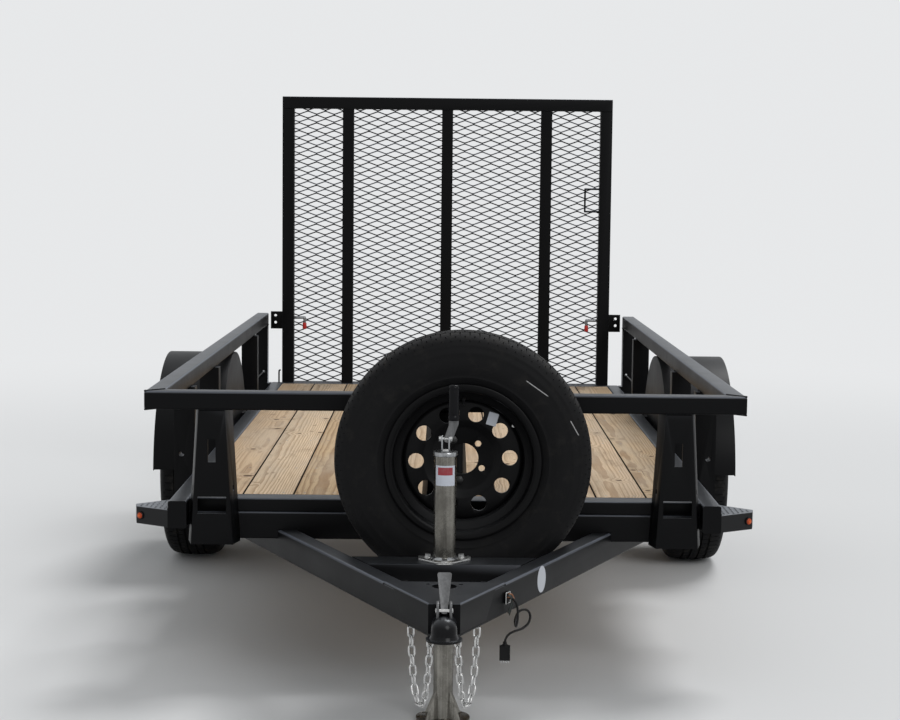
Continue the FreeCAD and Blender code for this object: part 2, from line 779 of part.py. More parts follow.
save("spare_tyre", [to_spare(make_tyre())])
save("spare_rim", [to_spare(make_rim(spare_hand_turn, spare_lug_turn))])
nuts = []
studs = []
for index, (y, z) in enumerate(lug_points(spare_lug_turn)):
    if index not in spare_open_lugs:
        nuts.append(to_spare(hexagon(y, z, spare_nut_length)))
        studs.append(to_spare(rod((-bracket_seat_plate, y, z), (1, 0, 0), lug_stud_radius,
                                  bracket_seat_plate + disc_thickness)))
save("spare_nuts", nuts)
seat = rod((spare_x, spare_y, spare_z), (0, 1, 0), bracket_seat_radius, bracket_seat_plate)
seat = seat.common(box(spare_x - bracket_seat_radius, spare_x, spare_y - over, 0,
                       spare_z - bracket_seat_radius, spare_z + bracket_seat_radius))
arm = box(spare_x - bracket_arm_width, spare_x, spare_y + bracket_seat_plate - over, -bracket_back_plate,
          spare_z - bracket_arm_half, spare_z + bracket_arm_half)
back = box(-upright_top_half, spare_x, -bracket_back_plate, 0, spare_z - bracket_back_half,
           spare_z + bracket_back_half)
save("spare_bracket", [fused([seat, arm, back] + studs)])

# Fenders: an arched crown with a rolled outer edge, closed on the inside by a plate
fender_inner_x = frame_half + fender_gap
fender_outer_x = fender_inner_x + fender_width
fender_end_z = wheel_z + fender_end_rise


def arch(radius, x, length):
    half = math.sqrt(radius ** 2 - fender_end_rise ** 2)
    first, last = vec(x, axle_y - half, fender_end_z), vec(x, axle_y + half, fender_end_z)
    arc = Part.Arc(first, vec(x, axle_y, wheel_z + radius), last).toShape()
    return Part.Face(Part.Wire([arc, Part.makeLine(last, first)])).extrude(vec(length, 0, 0))


shell = arch(fender_radius, fender_inner_x, fender_width)
shell = shell.cut(arch(fender_radius - sheet, fender_inner_x + sheet, fender_width))
shell = shell.cut(box(fender_inner_x + sheet, fender_outer_x + over, axle_y - fender_radius,
                      axle_y + fender_radius, fender_end_z - over, fender_end_z + sheet))
shell = shell.cut(box(fender_inner_x - over, fender_inner_x + sheet + over, axle_y - fender_opening_half,
                      axle_y + fender_opening_half, fender_end_z - over, frame_bottom))
roll = arch(fender_radius, fender_outer_x - sheet, sheet)
roll = roll.cut(arch(fender_radius - fender_roll, fender_outer_x - sheet - over, sheet + 2 * over))
tabs = []
for y in (axle_y - fender_tab_y, axle_y + fender_tab_y):
    tabs.append(box(frame_half, fender_inner_x + over, y - fender_tab_half, y + fender_tab_half,
                    frame_bottom + fender_tab_margin, frame_top - fender_tab_margin))
fender = fused([shell, roll] + tabs)
for name, sign in sides:
    save("fender_" + name, [on_side(fender, sign)])

# Axle tube with its spindles and spring pads
spring_x = frame_half - tube / 2
axle_half = wheel_track_half - hub_depth - axle_hub_gap
spindle_end = wheel_track_half + hub_reach - spindle_inset
pack_top = wheel_z - axle_tube_radius - spring_pad_drop - spring_seat_gap
beam = rod((-axle_half, axle_y, wheel_z), (1, 0, 0), axle_tube_radius, 2 * axle_half)
spindle = rod((-spindle_end, axle_y, wheel_z), (1, 0, 0), spindle_radius, 2 * spindle_end)
pad_z = pack_top + spring_seat_gap
pad = box(spring_x - spring_half_width, spring_x + spring_half_width, axle_y - spring_pad_half,
          axle_y + spring_pad_half, pad_z, pad_z + spring_pad_height)
save("axle", [fused([beam, spindle, pad, mirrored(pad)])])


# Leaf springs: each leaf is an arc under the one above, and the longest ends in an eye
def leaf_face(share, top):
    half = spring_half_length * share
    rise = spring_camber * share ** 2
    x = spring_x - spring_half_width
    low, mid, high = vec(x, axle_y - half, top + rise), vec(x, axle_y, top), vec(x, axle_y + half, top + rise)
    drop = vec(0, 0, -leaf_thickness)
    edges = [Part.Arc(low, mid, high).toShape(), Part.makeLine(high, high + drop),
             Part.Arc(high + drop, mid + drop, low + drop).toShape(), Part.makeLine(low + drop, low)]
    return Part.Face(Part.Wire(edges))


eye_z = pack_top + spring_camber
clamp_top = wheel_z + axle_tube_radius
clamp_base = pack_top - leaf_thickness * len(leaf_shares)
clamp_x = spring_half_width + clamp_rod_gap + clamp_rod_radius
clamp_y = axle_tube_radius + clamp_axle_gap
leaves = []
for index, share in enumerate(leaf_shares):
    leaves.append(leaf_face(share, pack_top - leaf_thickness * index).extrude(vec(2 * spring_half_width, 0, 0)))
hangers = []
for end in (-spring_half_length, spring_half_length):
    y = axle_y + end
    leaves.append(rod((spring_x - spring_half_width, y, eye_z), (1, 0, 0), eye_radius, 2 * spring_half_width))
    cheeks = [box(spring_x - spring_half_width - hanger_plate, spring_x - spring_half_width, y - hanger_half,
                  y + hanger_half, eye_z - hanger_drop, frame_bottom),
              box(spring_x + spring_half_width, spring_x + spring_half_width + hanger_plate, y - hanger_half,
                  y + hanger_half, eye_z - hanger_drop, frame_bottom),
              box(spring_x - spring_half_width, spring_x + spring_half_width, y - hanger_half, y + hanger_half,
                  frame_bottom - hanger_cap, frame_bottom)]
    hangers.append(fused(cheeks))
clamp_half = spring_half_width + clamp_margin
clamp = [box(spring_x - clamp_half, spring_x + clamp_half, axle_y - clamp_half_length,
             axle_y + clamp_half_length, clamp_base - clamp_plate, clamp_base)]
rod_low = clamp_base - clamp_rod_tail
for x in (spring_x - clamp_x, spring_x + clamp_x):
    for y in (axle_y - clamp_y, axle_y + clamp_y):
        clamp.append(rod((x, y, rod_low), (0, 0, 1), clamp_rod_radius, clamp_top + clamp_bridge - rod_low))
    clamp.append(box(x - clamp_rod_radius, x + clamp_rod_radius, axle_y - clamp_y, axle_y + clamp_y,
                     clamp_top, clamp_top + clamp_bridge))
mounts = hangers + [fused(clamp)]
spring = fused(leaves)
save("leaf_springs", [on_side(spring, sign) for name, sign in sides])
save("spring_mounts", [on_side(mount, sign) for name, sign in sides for mount in mounts])

# Gate: a welded tube frame with three bars, an ear on each side, hinge knuckles and an expanded metal sheet
gate_bottom = frame_top - gate_drop
gate_top = gate_bottom + gate_height
mesh_z0 = gate_bottom + tube
mesh_z1 = gate_top - tube
hinge_z = gate_bottom - hinge_drop
latch_z = frame_top + latch_rise
gate_bar_x = gate_half - gate_bar_inset
frame_pieces = [box(-gate_half, -gate_in, gate_front_y, gate_back_y, gate_bottom, gate_top),
                box(gate_in, gate_half, gate_front_y, gate_back_y, gate_bottom, gate_top),
                box(-gate_in, gate_in, gate_front_y, gate_back_y, gate_bottom, mesh_z0),
                box(-gate_in, gate_in, gate_front_y, gate_back_y, mesh_z1, gate_top)]
for x in (-gate_bar_x, 0, gate_bar_x):
    low_x = x - gate_bar_width / 2
    frame_pieces.append(box(low_x, low_x + gate_bar_width, gate_front_y, mesh_y, mesh_z0, mesh_z1))
ear_y = gate_front_y + ear_setback
ear = box(gate_half, gate_half + ear_reach, ear_y, ear_y + ear_plate, latch_z - ear_below, latch_z + ear_above)
for rise in ear_hole_rises:
    ear = ear.cut(rod((gate_half + ear_hole_x, ear_y - over, latch_z + rise), (0, 1, 0), ear_hole_radius,
                      ear_plate + 2 * over))
frame_pieces += [ear, mirrored(ear)]
knuckle_half = knuckle_length / 2
bores = []
for x in hinge_xs:
    frame_pieces.append(rod((x - knuckle_half, hinge_y, hinge_z), (1, 0, 0), knuckle_radius, knuckle_length))
    frame_pieces.append(box(x - knuckle_half, x + knuckle_half, hinge_y - knuckle_web / 2,
                            hinge_y + knuckle_web / 2, hinge_z, gate_bottom + over))
    bores.append(rod((x - knuckle_half - over, hinge_y, hinge_z), (1, 0, 0), hinge_pin_radius + hinge_clearance,
                     knuckle_length + 2 * over))
save("gate_frame", [fused(frame_pieces).cut(Part.makeCompound(bores))])

# Expanded metal, drawn at twice the real pitch
mesh_corners = [vec(-gate_in, mesh_y, mesh_z0), vec(gate_in, mesh_y, mesh_z0), vec(gate_in, mesh_y, mesh_z1),
                vec(-gate_in, mesh_y, mesh_z1)]
half_long = mesh_long_way / 2 - mesh_strand
half_short = mesh_short_way / 2 - mesh_strand_rise
row_count = int((mesh_z1 - mesh_z0) / (mesh_short_way / 2)) - 1
column_count = int(gate_in / mesh_long_way) + 2
diamonds = []
for row in range(row_count):
    z = mesh_z0 + mesh_short_way / 2 * (row + 1)
    shift = row % 2 * mesh_long_way / 2
    for column in range(-column_count, column_count + 1):
        x = column * mesh_long_way + shift
        if abs(x) + mesh_long_way / 2 <= gate_in:
            corners = [vec(x - half_long, mesh_y, z), vec(x, mesh_y, z - half_short),
                       vec(x + half_long, mesh_y, z), vec(x, mesh_y, z + half_short)]
            diamonds.append(Part.makePolygon(corners + [corners[0]]))
mesh_face = Part.Face([Part.makePolygon(mesh_corners + [mesh_corners[0]])] + diamonds)
save("gate_mesh", [mesh_face.extrude(vec(0, mesh_thickness, 0))])

# Latch rods with their dipped caps on the gate's stiles, and a wire handle
rod_y = gate_front_y + tube / 2
rod_x = gate_in - latch_reach
latch_foot = latch_z - latch_drop
across = rod((rod_x, rod_y, latch_z), (1, 0, 0), latch_rod_radius, latch_reach)
elbow = Part.makeSphere(latch_rod_radius, vec(rod_x, rod_y, latch_z))
down = rod((rod_x, rod_y, latch_foot), (0, 0, 1), latch_rod_radius, latch_drop)
bolt = rod((gate_half, rod_y, latch_z), (1, 0, 0), latch_rod_radius, latch_end)
latch = fused([across, elbow, down])
latch_cap = rod((rod_x, rod_y, latch_foot - latch_cap_length), (0, 0, 1), latch_cap_radius, latch_cap_length)
save("gate_latches", [on_side(piece, sign) for name, sign in sides for piece in (latch, bolt)])
save("gate_latch_caps", [on_side(latch_cap, sign) for name, sign in sides])

handle_x = gate_in - handle_out
handle_y = gate_front_y + handle_setback
handle_z = gate_bottom + handle_rise
bars = [rod((handle_x, handle_y, handle_z), (0, 0, 1), handle_radius, handle_height)]
for z in (handle_z, handle_z + handle_height):
    bars.append(rod((handle_x, handle_y, z), (1, 0, 0), handle_radius, handle_out))
    bars.append(Part.makeSphere(handle_radius, vec(handle_x, handle_y, z)))
save("gate_handle", [fused(bars)])

# Hinge plates and pins on the rear crossmember
hinge_parts = []
near = knuckle_half + hinge_side_gap
for x in hinge_xs:
    pieces = []
    for start in (x - near - hinge_plate, x + near):
        pieces.append(box(start, start + hinge_plate, deck_length, hinge_y, hinge_z - hinge_arm_height / 2,
                          hinge_z + hinge_arm_height / 2))
        pieces.append(rod((start, hinge_y, hinge_z), (1, 0, 0), hinge_plate_radius, hinge_plate))
    pin_half = near + hinge_plate + hinge_pin_end
    pieces.append(rod((x - pin_half, hinge_y, hinge_z), (1, 0, 0), hinge_pin_radius, 2 * pin_half))
    hinge_parts.append(fused(pieces))
save("gate_hinges", hinge_parts)

# Tail lamps on the rear posts
tail_low = frame_top + tail_lamp_rise
tail = box(rear_post_x + tail_lamp_margin, rail_half - tail_lamp_margin, deck_length,
           deck_length + tail_lamp_depth, tail_low, tail_low + tail_lamp_height)
save("tail_lamps", [on_side(tail, sign) for name, sign in sides])


# Safety chains: each hangs in a loop from two welded eyes under its tongue rail. A link is an eight-sided
# ring of square wire; its corner points are measured along and across the link from its centre.
def link_sizes(grow):
    half = (link_length + link_wire) / 2
    side = (link_gap + link_wire) / 2
    return half + grow, side + grow, (side + grow) * link_chamfer


def link(centre, along, across):
    normal = along.cross(across)
    loops = []
    for grow in (link_wire / 2, -link_wire / 2):
        x, y, step = link_sizes(grow)
        corners = [(x, y - step), (x - step, y), (step - x, y), (-x, y - step),
                   (-x, step - y), (step - x, -y), (x - step, -y), (x, step - y)]
        ring = [centre + along * u + across * v - normal * (link_wire / 2) for u, v in corners]
        loops.append(Part.makePolygon(ring + [ring[0]]))
    return Part.Face(loops).extrude(normal * link_wire)


def eye(point, across):
    corners = []
    for grow in (link_wire / 2, -link_wire / 2):
        x, y, step = link_sizes(grow)
        bow = [(0, y), (step - x, y), (-x, y - step), (-x, step - y), (step - x, -y), (0, -y)]
        corners += bow if grow > 0 else bow[::-1]
    normal = across.cross(vec(0, 0, 1))
    ring = [point + vec(0, 0, u) + across * v - normal * (link_wire / 2) for u, v in corners]
    return Part.Face(Part.makePolygon(ring + [ring[0]])).extrude(normal * link_wire)


# How far each joint lies from the link's centre before and after it: two links that turn lose some length
def joint_reaches(turns):
    leans = [-math.pi / 2] + turns + [math.pi / 2]
    losses = [link_wire * math.tan((after - before) / 2) for before, after in zip(leans, leans[1:])]
    return [(link_length - link_seat - loss) / 2 for loss in losses]


# The turn of each link in a catenary: its pull is halved in on until the links span the gap
def hanging_turns(span):
    low, high = 0.0, span
    while high - low > chain_tolerance:
        pull = (low + high) / 2
        turns = [math.atan((index - (link_count - 1) / 2) / pull) for index in range(link_count)]
        reaches = joint_reaches(turns)
        lengths = [before + after for before, after in zip(reaches, reaches[1:])]
        if sum(length * math.cos(turn) for length, turn in zip(lengths, turns)) < span:
            low = pull
        else:
            high = pull
    return turns


def chain(first, last):
    run = last - first
    level = vec(run.x, run.y, run.z).normalize()
    flat = level.cross(vec(0, 0, 1))
    turns = hanging_turns(run.Length)
    reaches = joint_reaches(turns)
    joint = first - vec(0, 0, reaches[0])
    links = []
    for index, turn in enumerate(turns):
        along = level * math.cos(turn) + vec(0, 0, math.sin(turn))
        across = flat if index % 2 == 0 else along.cross(flat)
        links.append(link(joint + along * reaches[index], along, across))
        joint = joint + along * (reaches[index] + reaches[index + 1])
    return links + [eye(point, level) for point in (first, last)]


chain_ends = []
for back in chain_end_backs:
    y = tongue_nose_y + back
    chain_ends.append(vec(tongue_x(y) - tongue_skew / 2, y, tongue_bottom))
hung = chain(*chain_ends)
save("safety_chains", hung + [mirrored(piece) for piece in hung])


# Wiring: a cord of straight runs and tangent arcs from the left tongue rail, ending in a flat plug
def cord(points, radius):
    points = [vec(*p) for p in points]
    edges = []
    radii = []
    last = points[0]
    for index in range(1, len(points) - 1):
        before = points[index - 1] - points[index]
        after = points[index + 1] - points[index]
        reach = cord_bend * min(before.Length, after.Length)
        before.normalize()
        after.normalize()
        half_turn = (math.pi - before.getAngle(after)) / 2
        bend = reach / math.tan(half_turn)
        start = points[index] + before * reach
        end = points[index] + after * reach
        inward = (before + after).normalize()
        middle = points[index] + inward * (bend / math.cos(half_turn) - bend)
        edges.append(Part.makeLine(last, start))
        edges.append(Part.Arc(start, middle, end).toShape())
        radii.append(round(bend, 1))
        last = end
    edges.append(Part.makeLine(last, points[-1]))
    path = Part.Wire(edges)
    profile = Part.Wire([Part.makeCircle(radius, points[0], points[1] - points[0])])
    tube_solid = path.makePipeShell([profile], True, True)
    expected = math.pi * radius ** 2 * path.Length
    print("cord radii", radii, "length", round(path.Length, 1))
    print("cord volume over its section times its length", round(tube_solid.Volume / expected, 4))
    return tube_solid


cord_exit = (tongue_x(grommet_y), grommet_y, grommet_z)
cord_lead = (cord_exit[0] + cord_exit_run * math.cos(tongue_angle),
             cord_exit[1] - cord_exit_run * math.sin(tongue_angle), grommet_z)
save("wiring_cord", [cord((cord_exit, cord_lead) + cord_bends + (plug_top,), cord_radius)])

plug_x, plug_y, plug_z = plug_top
housing_low = plug_z - plug_length
plug = [box(plug_x - plug_half_width, plug_x + plug_half_width, plug_y - plug_half_thickness,
            plug_y + plug_half_thickness, housing_low, plug_z)]
for index in range(plug_pin_count):
    x = plug_x + plug_pin_pitch * (index - (plug_pin_count - 1) / 2)
    plug.append(rod((x, plug_y, housing_low - plug_pin_length), (0, 0, 1), plug_pin_radius,
                    plug_pin_length + over))
save("wiring_plug", [fused(plug)])

grommet = box(0, grommet_thickness, -grommet_half_width, grommet_half_width, -grommet_half_height,
              grommet_half_height)
grommet = grommet.cut(rod((-over, 0, 0), (1, 0, 0), cord_radius + grommet_hole_clearance,
                          grommet_thickness + 2 * over))
grommet.rotate(vec(0, 0, 0), vec(0, 0, 1), -math.degrees(tongue_angle))
grommet.translate(vec(*cord_exit))
save("wiring_grommet", [grommet])
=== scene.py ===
# Utility trailer, dressed over its CAD frame. Metres; the part's drawing numbers are millimetres and go
# through at(), which also moves them from the front rail's face to the middle of the trailer.
import json
import math

import bpy
from mathutils import Matrix, Vector

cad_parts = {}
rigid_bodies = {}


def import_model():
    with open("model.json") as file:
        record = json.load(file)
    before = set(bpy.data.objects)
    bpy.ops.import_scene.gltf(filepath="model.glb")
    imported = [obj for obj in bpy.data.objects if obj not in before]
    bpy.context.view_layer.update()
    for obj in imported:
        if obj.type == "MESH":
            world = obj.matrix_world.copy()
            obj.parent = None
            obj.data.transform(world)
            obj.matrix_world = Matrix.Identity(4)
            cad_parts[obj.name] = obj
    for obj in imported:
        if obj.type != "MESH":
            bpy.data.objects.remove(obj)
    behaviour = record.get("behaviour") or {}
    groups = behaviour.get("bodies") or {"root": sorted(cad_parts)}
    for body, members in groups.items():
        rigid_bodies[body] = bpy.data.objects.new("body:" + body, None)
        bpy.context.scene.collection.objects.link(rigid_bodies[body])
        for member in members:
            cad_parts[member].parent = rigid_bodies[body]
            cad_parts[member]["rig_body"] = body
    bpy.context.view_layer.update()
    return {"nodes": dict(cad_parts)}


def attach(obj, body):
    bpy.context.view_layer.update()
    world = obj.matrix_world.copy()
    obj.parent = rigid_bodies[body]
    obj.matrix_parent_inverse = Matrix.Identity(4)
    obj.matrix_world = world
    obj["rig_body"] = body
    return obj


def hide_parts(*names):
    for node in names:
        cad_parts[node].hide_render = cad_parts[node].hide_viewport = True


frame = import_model()
nodes = frame["nodes"]
bodyOf = {name: thing["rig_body"] for name, thing in nodes.items()}
print("trailer: frame loaded,", len(nodes), "nodes")

mm = 0.001
trailerMiddle = 1092.5  # behind the front rail's face
across, along, upward = Vector((1, 0, 0)), Vector((0, 1, 0)), Vector((0, 0, 1))


def at(x, y, z):
    return Vector((x, y - trailerMiddle, z)) * mm


def linked(name, data):
    thing = bpy.data.objects.new(name, data)
    bpy.context.scene.collection.objects.link(thing)
    return thing


# camera, where the photograph was taken from
shot = {"place": (-0.0084, -6.1083, 1.3869), "pitch": 0.0957, "yaw": -0.0037, "roll": 0.0107, "lens": 73.8,
        "sensor": 36.0, "nearest": 0.05, "farthest": 200.0}


def placeCamera():
    data = bpy.data.cameras.new("trailerCamera")
    camera = linked("trailerCamera", data)
    data.lens, data.sensor_width, data.sensor_fit = shot["lens"], shot["sensor"], "HORIZONTAL"
    data.clip_start, data.clip_end = shot["nearest"], shot["farthest"]
    (yawCos, yawSin), (pitchCos, pitchSin), (rollCos, rollSin) = [
        (math.cos(shot[turn]), math.sin(shot[turn])) for turn in ("yaw", "pitch", "roll")]
    level = Vector((yawCos, yawSin, 0))
    ahead = Vector((-yawSin * pitchCos, yawCos * pitchCos, -pitchSin))
    head = Vector((-yawSin * pitchSin, yawCos * pitchSin, pitchCos))
    right, top = level * rollCos + head * rollSin, head * rollCos - level * rollSin
    turn = Matrix((right, top, -ahead)).transposed().to_4x4()
    camera.matrix_world = Matrix.Translation(Vector(shot["place"])) @ turn
    bpy.context.scene.camera = camera


placeCamera()
bpy.context.scene.view_settings.view_transform = "Standard"


# shader sockets that can be added, multiplied and so on
class Wire:
    def __init__(self, bench, socket):
        self.bench = bench
        self.socket = socket

    # a Math node on the values, or on this socket alone
    def reckon(self, operation, *values):
        return self.bench.make("ShaderNodeMath", {"operation": operation}, dict(enumerate(values or (self,))))

    def __add__(self, other):
        return self.reckon("ADD", self, other)

    def __radd__(self, other):
        return self.reckon("ADD", other, self)

    def __sub__(self, other):
        return self.reckon("SUBTRACT", self, other)

    def __rsub__(self, other):
        return self.reckon("SUBTRACT", other, self)

    def __mul__(self, other):
        return self.reckon("MULTIPLY", self, other)

    def __rmul__(self, other):
        return self.reckon("MULTIPLY", other, self)

    def __truediv__(self, other):
        return self.reckon("DIVIDE", self, other)

    def __rtruediv__(self, other):
        return self.reckon("DIVIDE", other, self)


# the node tree of one material, or of the world
class Bench:
    def __init__(self, name, world=None):
        self.material = world or bpy.data.materials.new(name)
        self.material.use_nodes = True
        self.tree = self.material.node_tree
        self.tree.nodes.clear()
        self.count = 0

    def make(self, kind, settings=None, sockets=None, outlet=0):
        node = self.tree.nodes.new(kind)
        node.location = (self.count % 12 * 180, -(self.count // 12) * 260)
        self.count += 1
        for key, value in (settings or {}).items():
            setattr(node, key, value)
        for key, value in (sockets or {}).items():
            if isinstance(value, Wire):
                self.tree.links.new(value.socket, node.inputs[key])
            else:
                node.inputs[key].default_value = value
        return Wire(self, node.outputs[outlet])

    def place(self):
        return self.make("ShaderNodeTexCoord", outlet="Object")

    def facing(self):
        return self.make("ShaderNodeTexCoord", outlet="Normal")

    def parts(self, vector):
        first = self.make("ShaderNodeSeparateXYZ", {}, {0: vector})
        outlets = first.socket.node.outputs
        return [Wire(self, outlets[index]) for index in range(3)]

    def vector(self, x, y, z):
        return self.make("ShaderNodeCombineXYZ", {}, {0: x, 1: y, 2: z})

    def stretched(self, vector, scale, shift=(0, 0, 0)):
        return self.make("ShaderNodeMapping", {}, {"Vector": vector, "Scale": scale, "Location": shift})

    def noise(self, vector, scale, detail=2.0, rough=0.5):
        return self.make("ShaderNodeTexNoise", {}, {"Vector": vector, "Scale": scale, "Detail": detail,
                                                    "Roughness": rough}, "Fac")

    def step(self, value, low, high):
        return self.make("ShaderNodeMapRange", {"interpolation_type": "SMOOTHSTEP"},
                         {"Value": value, "From Min": low, "From Max": high})

    def tint(self, mask, first, second):
        return self.make("ShaderNodeMix", {"data_type": "RGBA"}, {0: mask, 6: first, 7: second}, 2)

    def bump(self, height, strength, distance):
        return self.make("ShaderNodeBump", {}, {"Height": height, "Strength": strength, "Distance": distance}, "Normal")

    def finish(self, sockets):
        self.show(self.make("ShaderNodeBsdfPrincipled", {}, sockets))
        return self.material

    def show(self, shader, kind="ShaderNodeOutputMaterial"):
        output = self.tree.nodes.new(kind)
        self.tree.links.new(shader.socket, output.inputs["Surface"])


def colour(red, green, blue):
    return (red, green, blue, 1.0)


# how far a point is from the pattern's middle
def farFrom(first, *others):
    total = first * first
    for other in others:
        total = total + other * other
    return total.reckon("SQRT")


# black powder coat: orange peel, dull blotches, a light dusting on what faces up, a painted sky sheen that lightens all
# up-facing faces, and where asked a painted highlight on upward rounded edges
def powderCoat(name, base, dustAndSheen, dull, peel, dusting, sheen, top, worn=0.0):
    bench = Bench(name)
    place = bench.place()
    blotch = bench.noise(place, 7.0, 4.0, 0.6)
    grit = bench.noise(place, 160.0, 3.0, 0.7)
    up = bench.parts(bench.facing())[2]
    settled = bench.step(up, 0.55, 1.0) * bench.step(bench.noise(place, 21.0, 5.0, 0.65), 0.35, 0.8)
    # the mask is settled dusting plus a painted sky sheen on every up-facing face; both take the same pale colour
    mask = settled * dusting * (grit * 0.8 + 0.5) + bench.step(up, 0.6, 1.0) * (blotch * 0.12 + 0.06)
    shade = bench.tint(mask, colour(*base), colour(*dustAndSheen))
    if worn:
        # painted highlight: rounded edges that tilt upward are painted pale, standing in for the light they catch; the
        # worn number sets its strength
        edge = bench.step(up, 0.1, 0.35) * (1.0 - bench.step(up, 0.9, 0.985)) * (blotch * 0.6 + 0.5)
        shade = bench.tint(edge * worn, shade, colour(0.19, 0.2, 0.225))
    rough = blotch * 0.16 + (dull - 0.08) + mask * 0.5
    skin = bench.bump(bench.noise(place, 620.0, 2.0, 0.5), peel, 0.0004)
    return bench.finish({"Base Color": shade, "Roughness": rough, "Normal": skin, "Specular IOR Level": sheen,
                         "Coat Weight": bench.step(up, 0.25, 0.85) * top, "Coat Roughness": 0.36,
                         "Coat Tint": colour(0.78, 0.87, 1.0)})


# zinc plate: grey metal with faint drawing lines down the piece, small crystals and a dull bloom
def zincPlate(name, base, bloom, dull, lines):
    bench = Bench(name)
    place = bench.place()
    drawn = bench.noise(bench.stretched(place, lines), 6.0, 5.0, 0.6)
    crystal = bench.make("ShaderNodeTexVoronoi", {"feature": "F1"}, {"Vector": place, "Scale": 240.0}, "Color")
    grain = bench.parts(crystal)[0]
    cloud = bench.step(bench.noise(place, 18.0, 5.0, 0.6), 0.35, 0.75)
    streak = bench.step(drawn, 0.36, 0.66)
    shade = bench.tint(cloud * 0.35 + grain * 0.15 + streak * 0.4, colour(*base), colour(*bloom))
    rough = cloud * 0.14 + drawn * 0.22 + (dull - 0.16)
    skin = bench.bump(drawn * 0.7 + grain * 0.3, 0.1, 0.0006)
    return bench.finish({"Base Color": shade, "Metallic": 1.0 - cloud * 0.2, "Roughness": rough,
                         "Normal": skin})


# scaled spring steel: dark paint worn to brown rust in patches
def springPaint():
    bench = Bench("springSteel")
    place = bench.place()
    worn = bench.step(bench.noise(place, 34.0, 6.0, 0.7), 0.56, 0.72)
    rust = bench.tint(bench.noise(place, 260.0, 3.0), colour(0.055, 0.026, 0.014), colour(0.11, 0.052, 0.024))
    shade = bench.tint(worn * 0.7, colour(0.008, 0.008, 0.0085), rust)
    rough = worn * 0.28 + 0.45
    skin = bench.bump(bench.noise(place, 480.0, 4.0, 0.6) + worn * 0.4, 0.18, 0.0008)
    return bench.finish({"Base Color": shade, "Roughness": rough, "Normal": skin})


boards = {"count": 10, "half": 711.2, "gap": 2.54, "front": 133.0, "rear": 2994.2, "under": 469.9, "top": 508.0,
          "ease": 3.0, "ring": 0.0052, "edge": 0.0669, "knotCell": (0.15, 0.36), "pale": (0.72, 0.56, 0.39),
          "tan": (0.58, 0.42, 0.27), "honey": (0.57, 0.41, 0.24), "grey": (0.44, 0.375, 0.3),
          "lateWood": (0.29, 0.165, 0.08), "fibre": (0.27, 0.19, 0.12), "sawMark": (0.2, 0.13, 0.08),
          "sawPitch": 1150.0, "spike": (0.07, 0.032, 0.015), "knot": (0.05, 0.022, 0.01),
          "dirt": (0.16, 0.1, 0.055), "check": (0.05, 0.032, 0.02), "gapSideShade": (0.012, 0.008, 0.005),
          "screwRows": (158.0, 609.6, 1219.2, 1828.8, 2438.4, 2970.0), "screwInset": 30.0,
          "screw": ((-3, 0), (-3, 2), (0, 4.4), (0.35, 3.9), (0.5, 2.4), (-0.9, 1.7), (-0.9, 0))}
boards["pitch"] = 2 * boards["half"] / boards["count"]
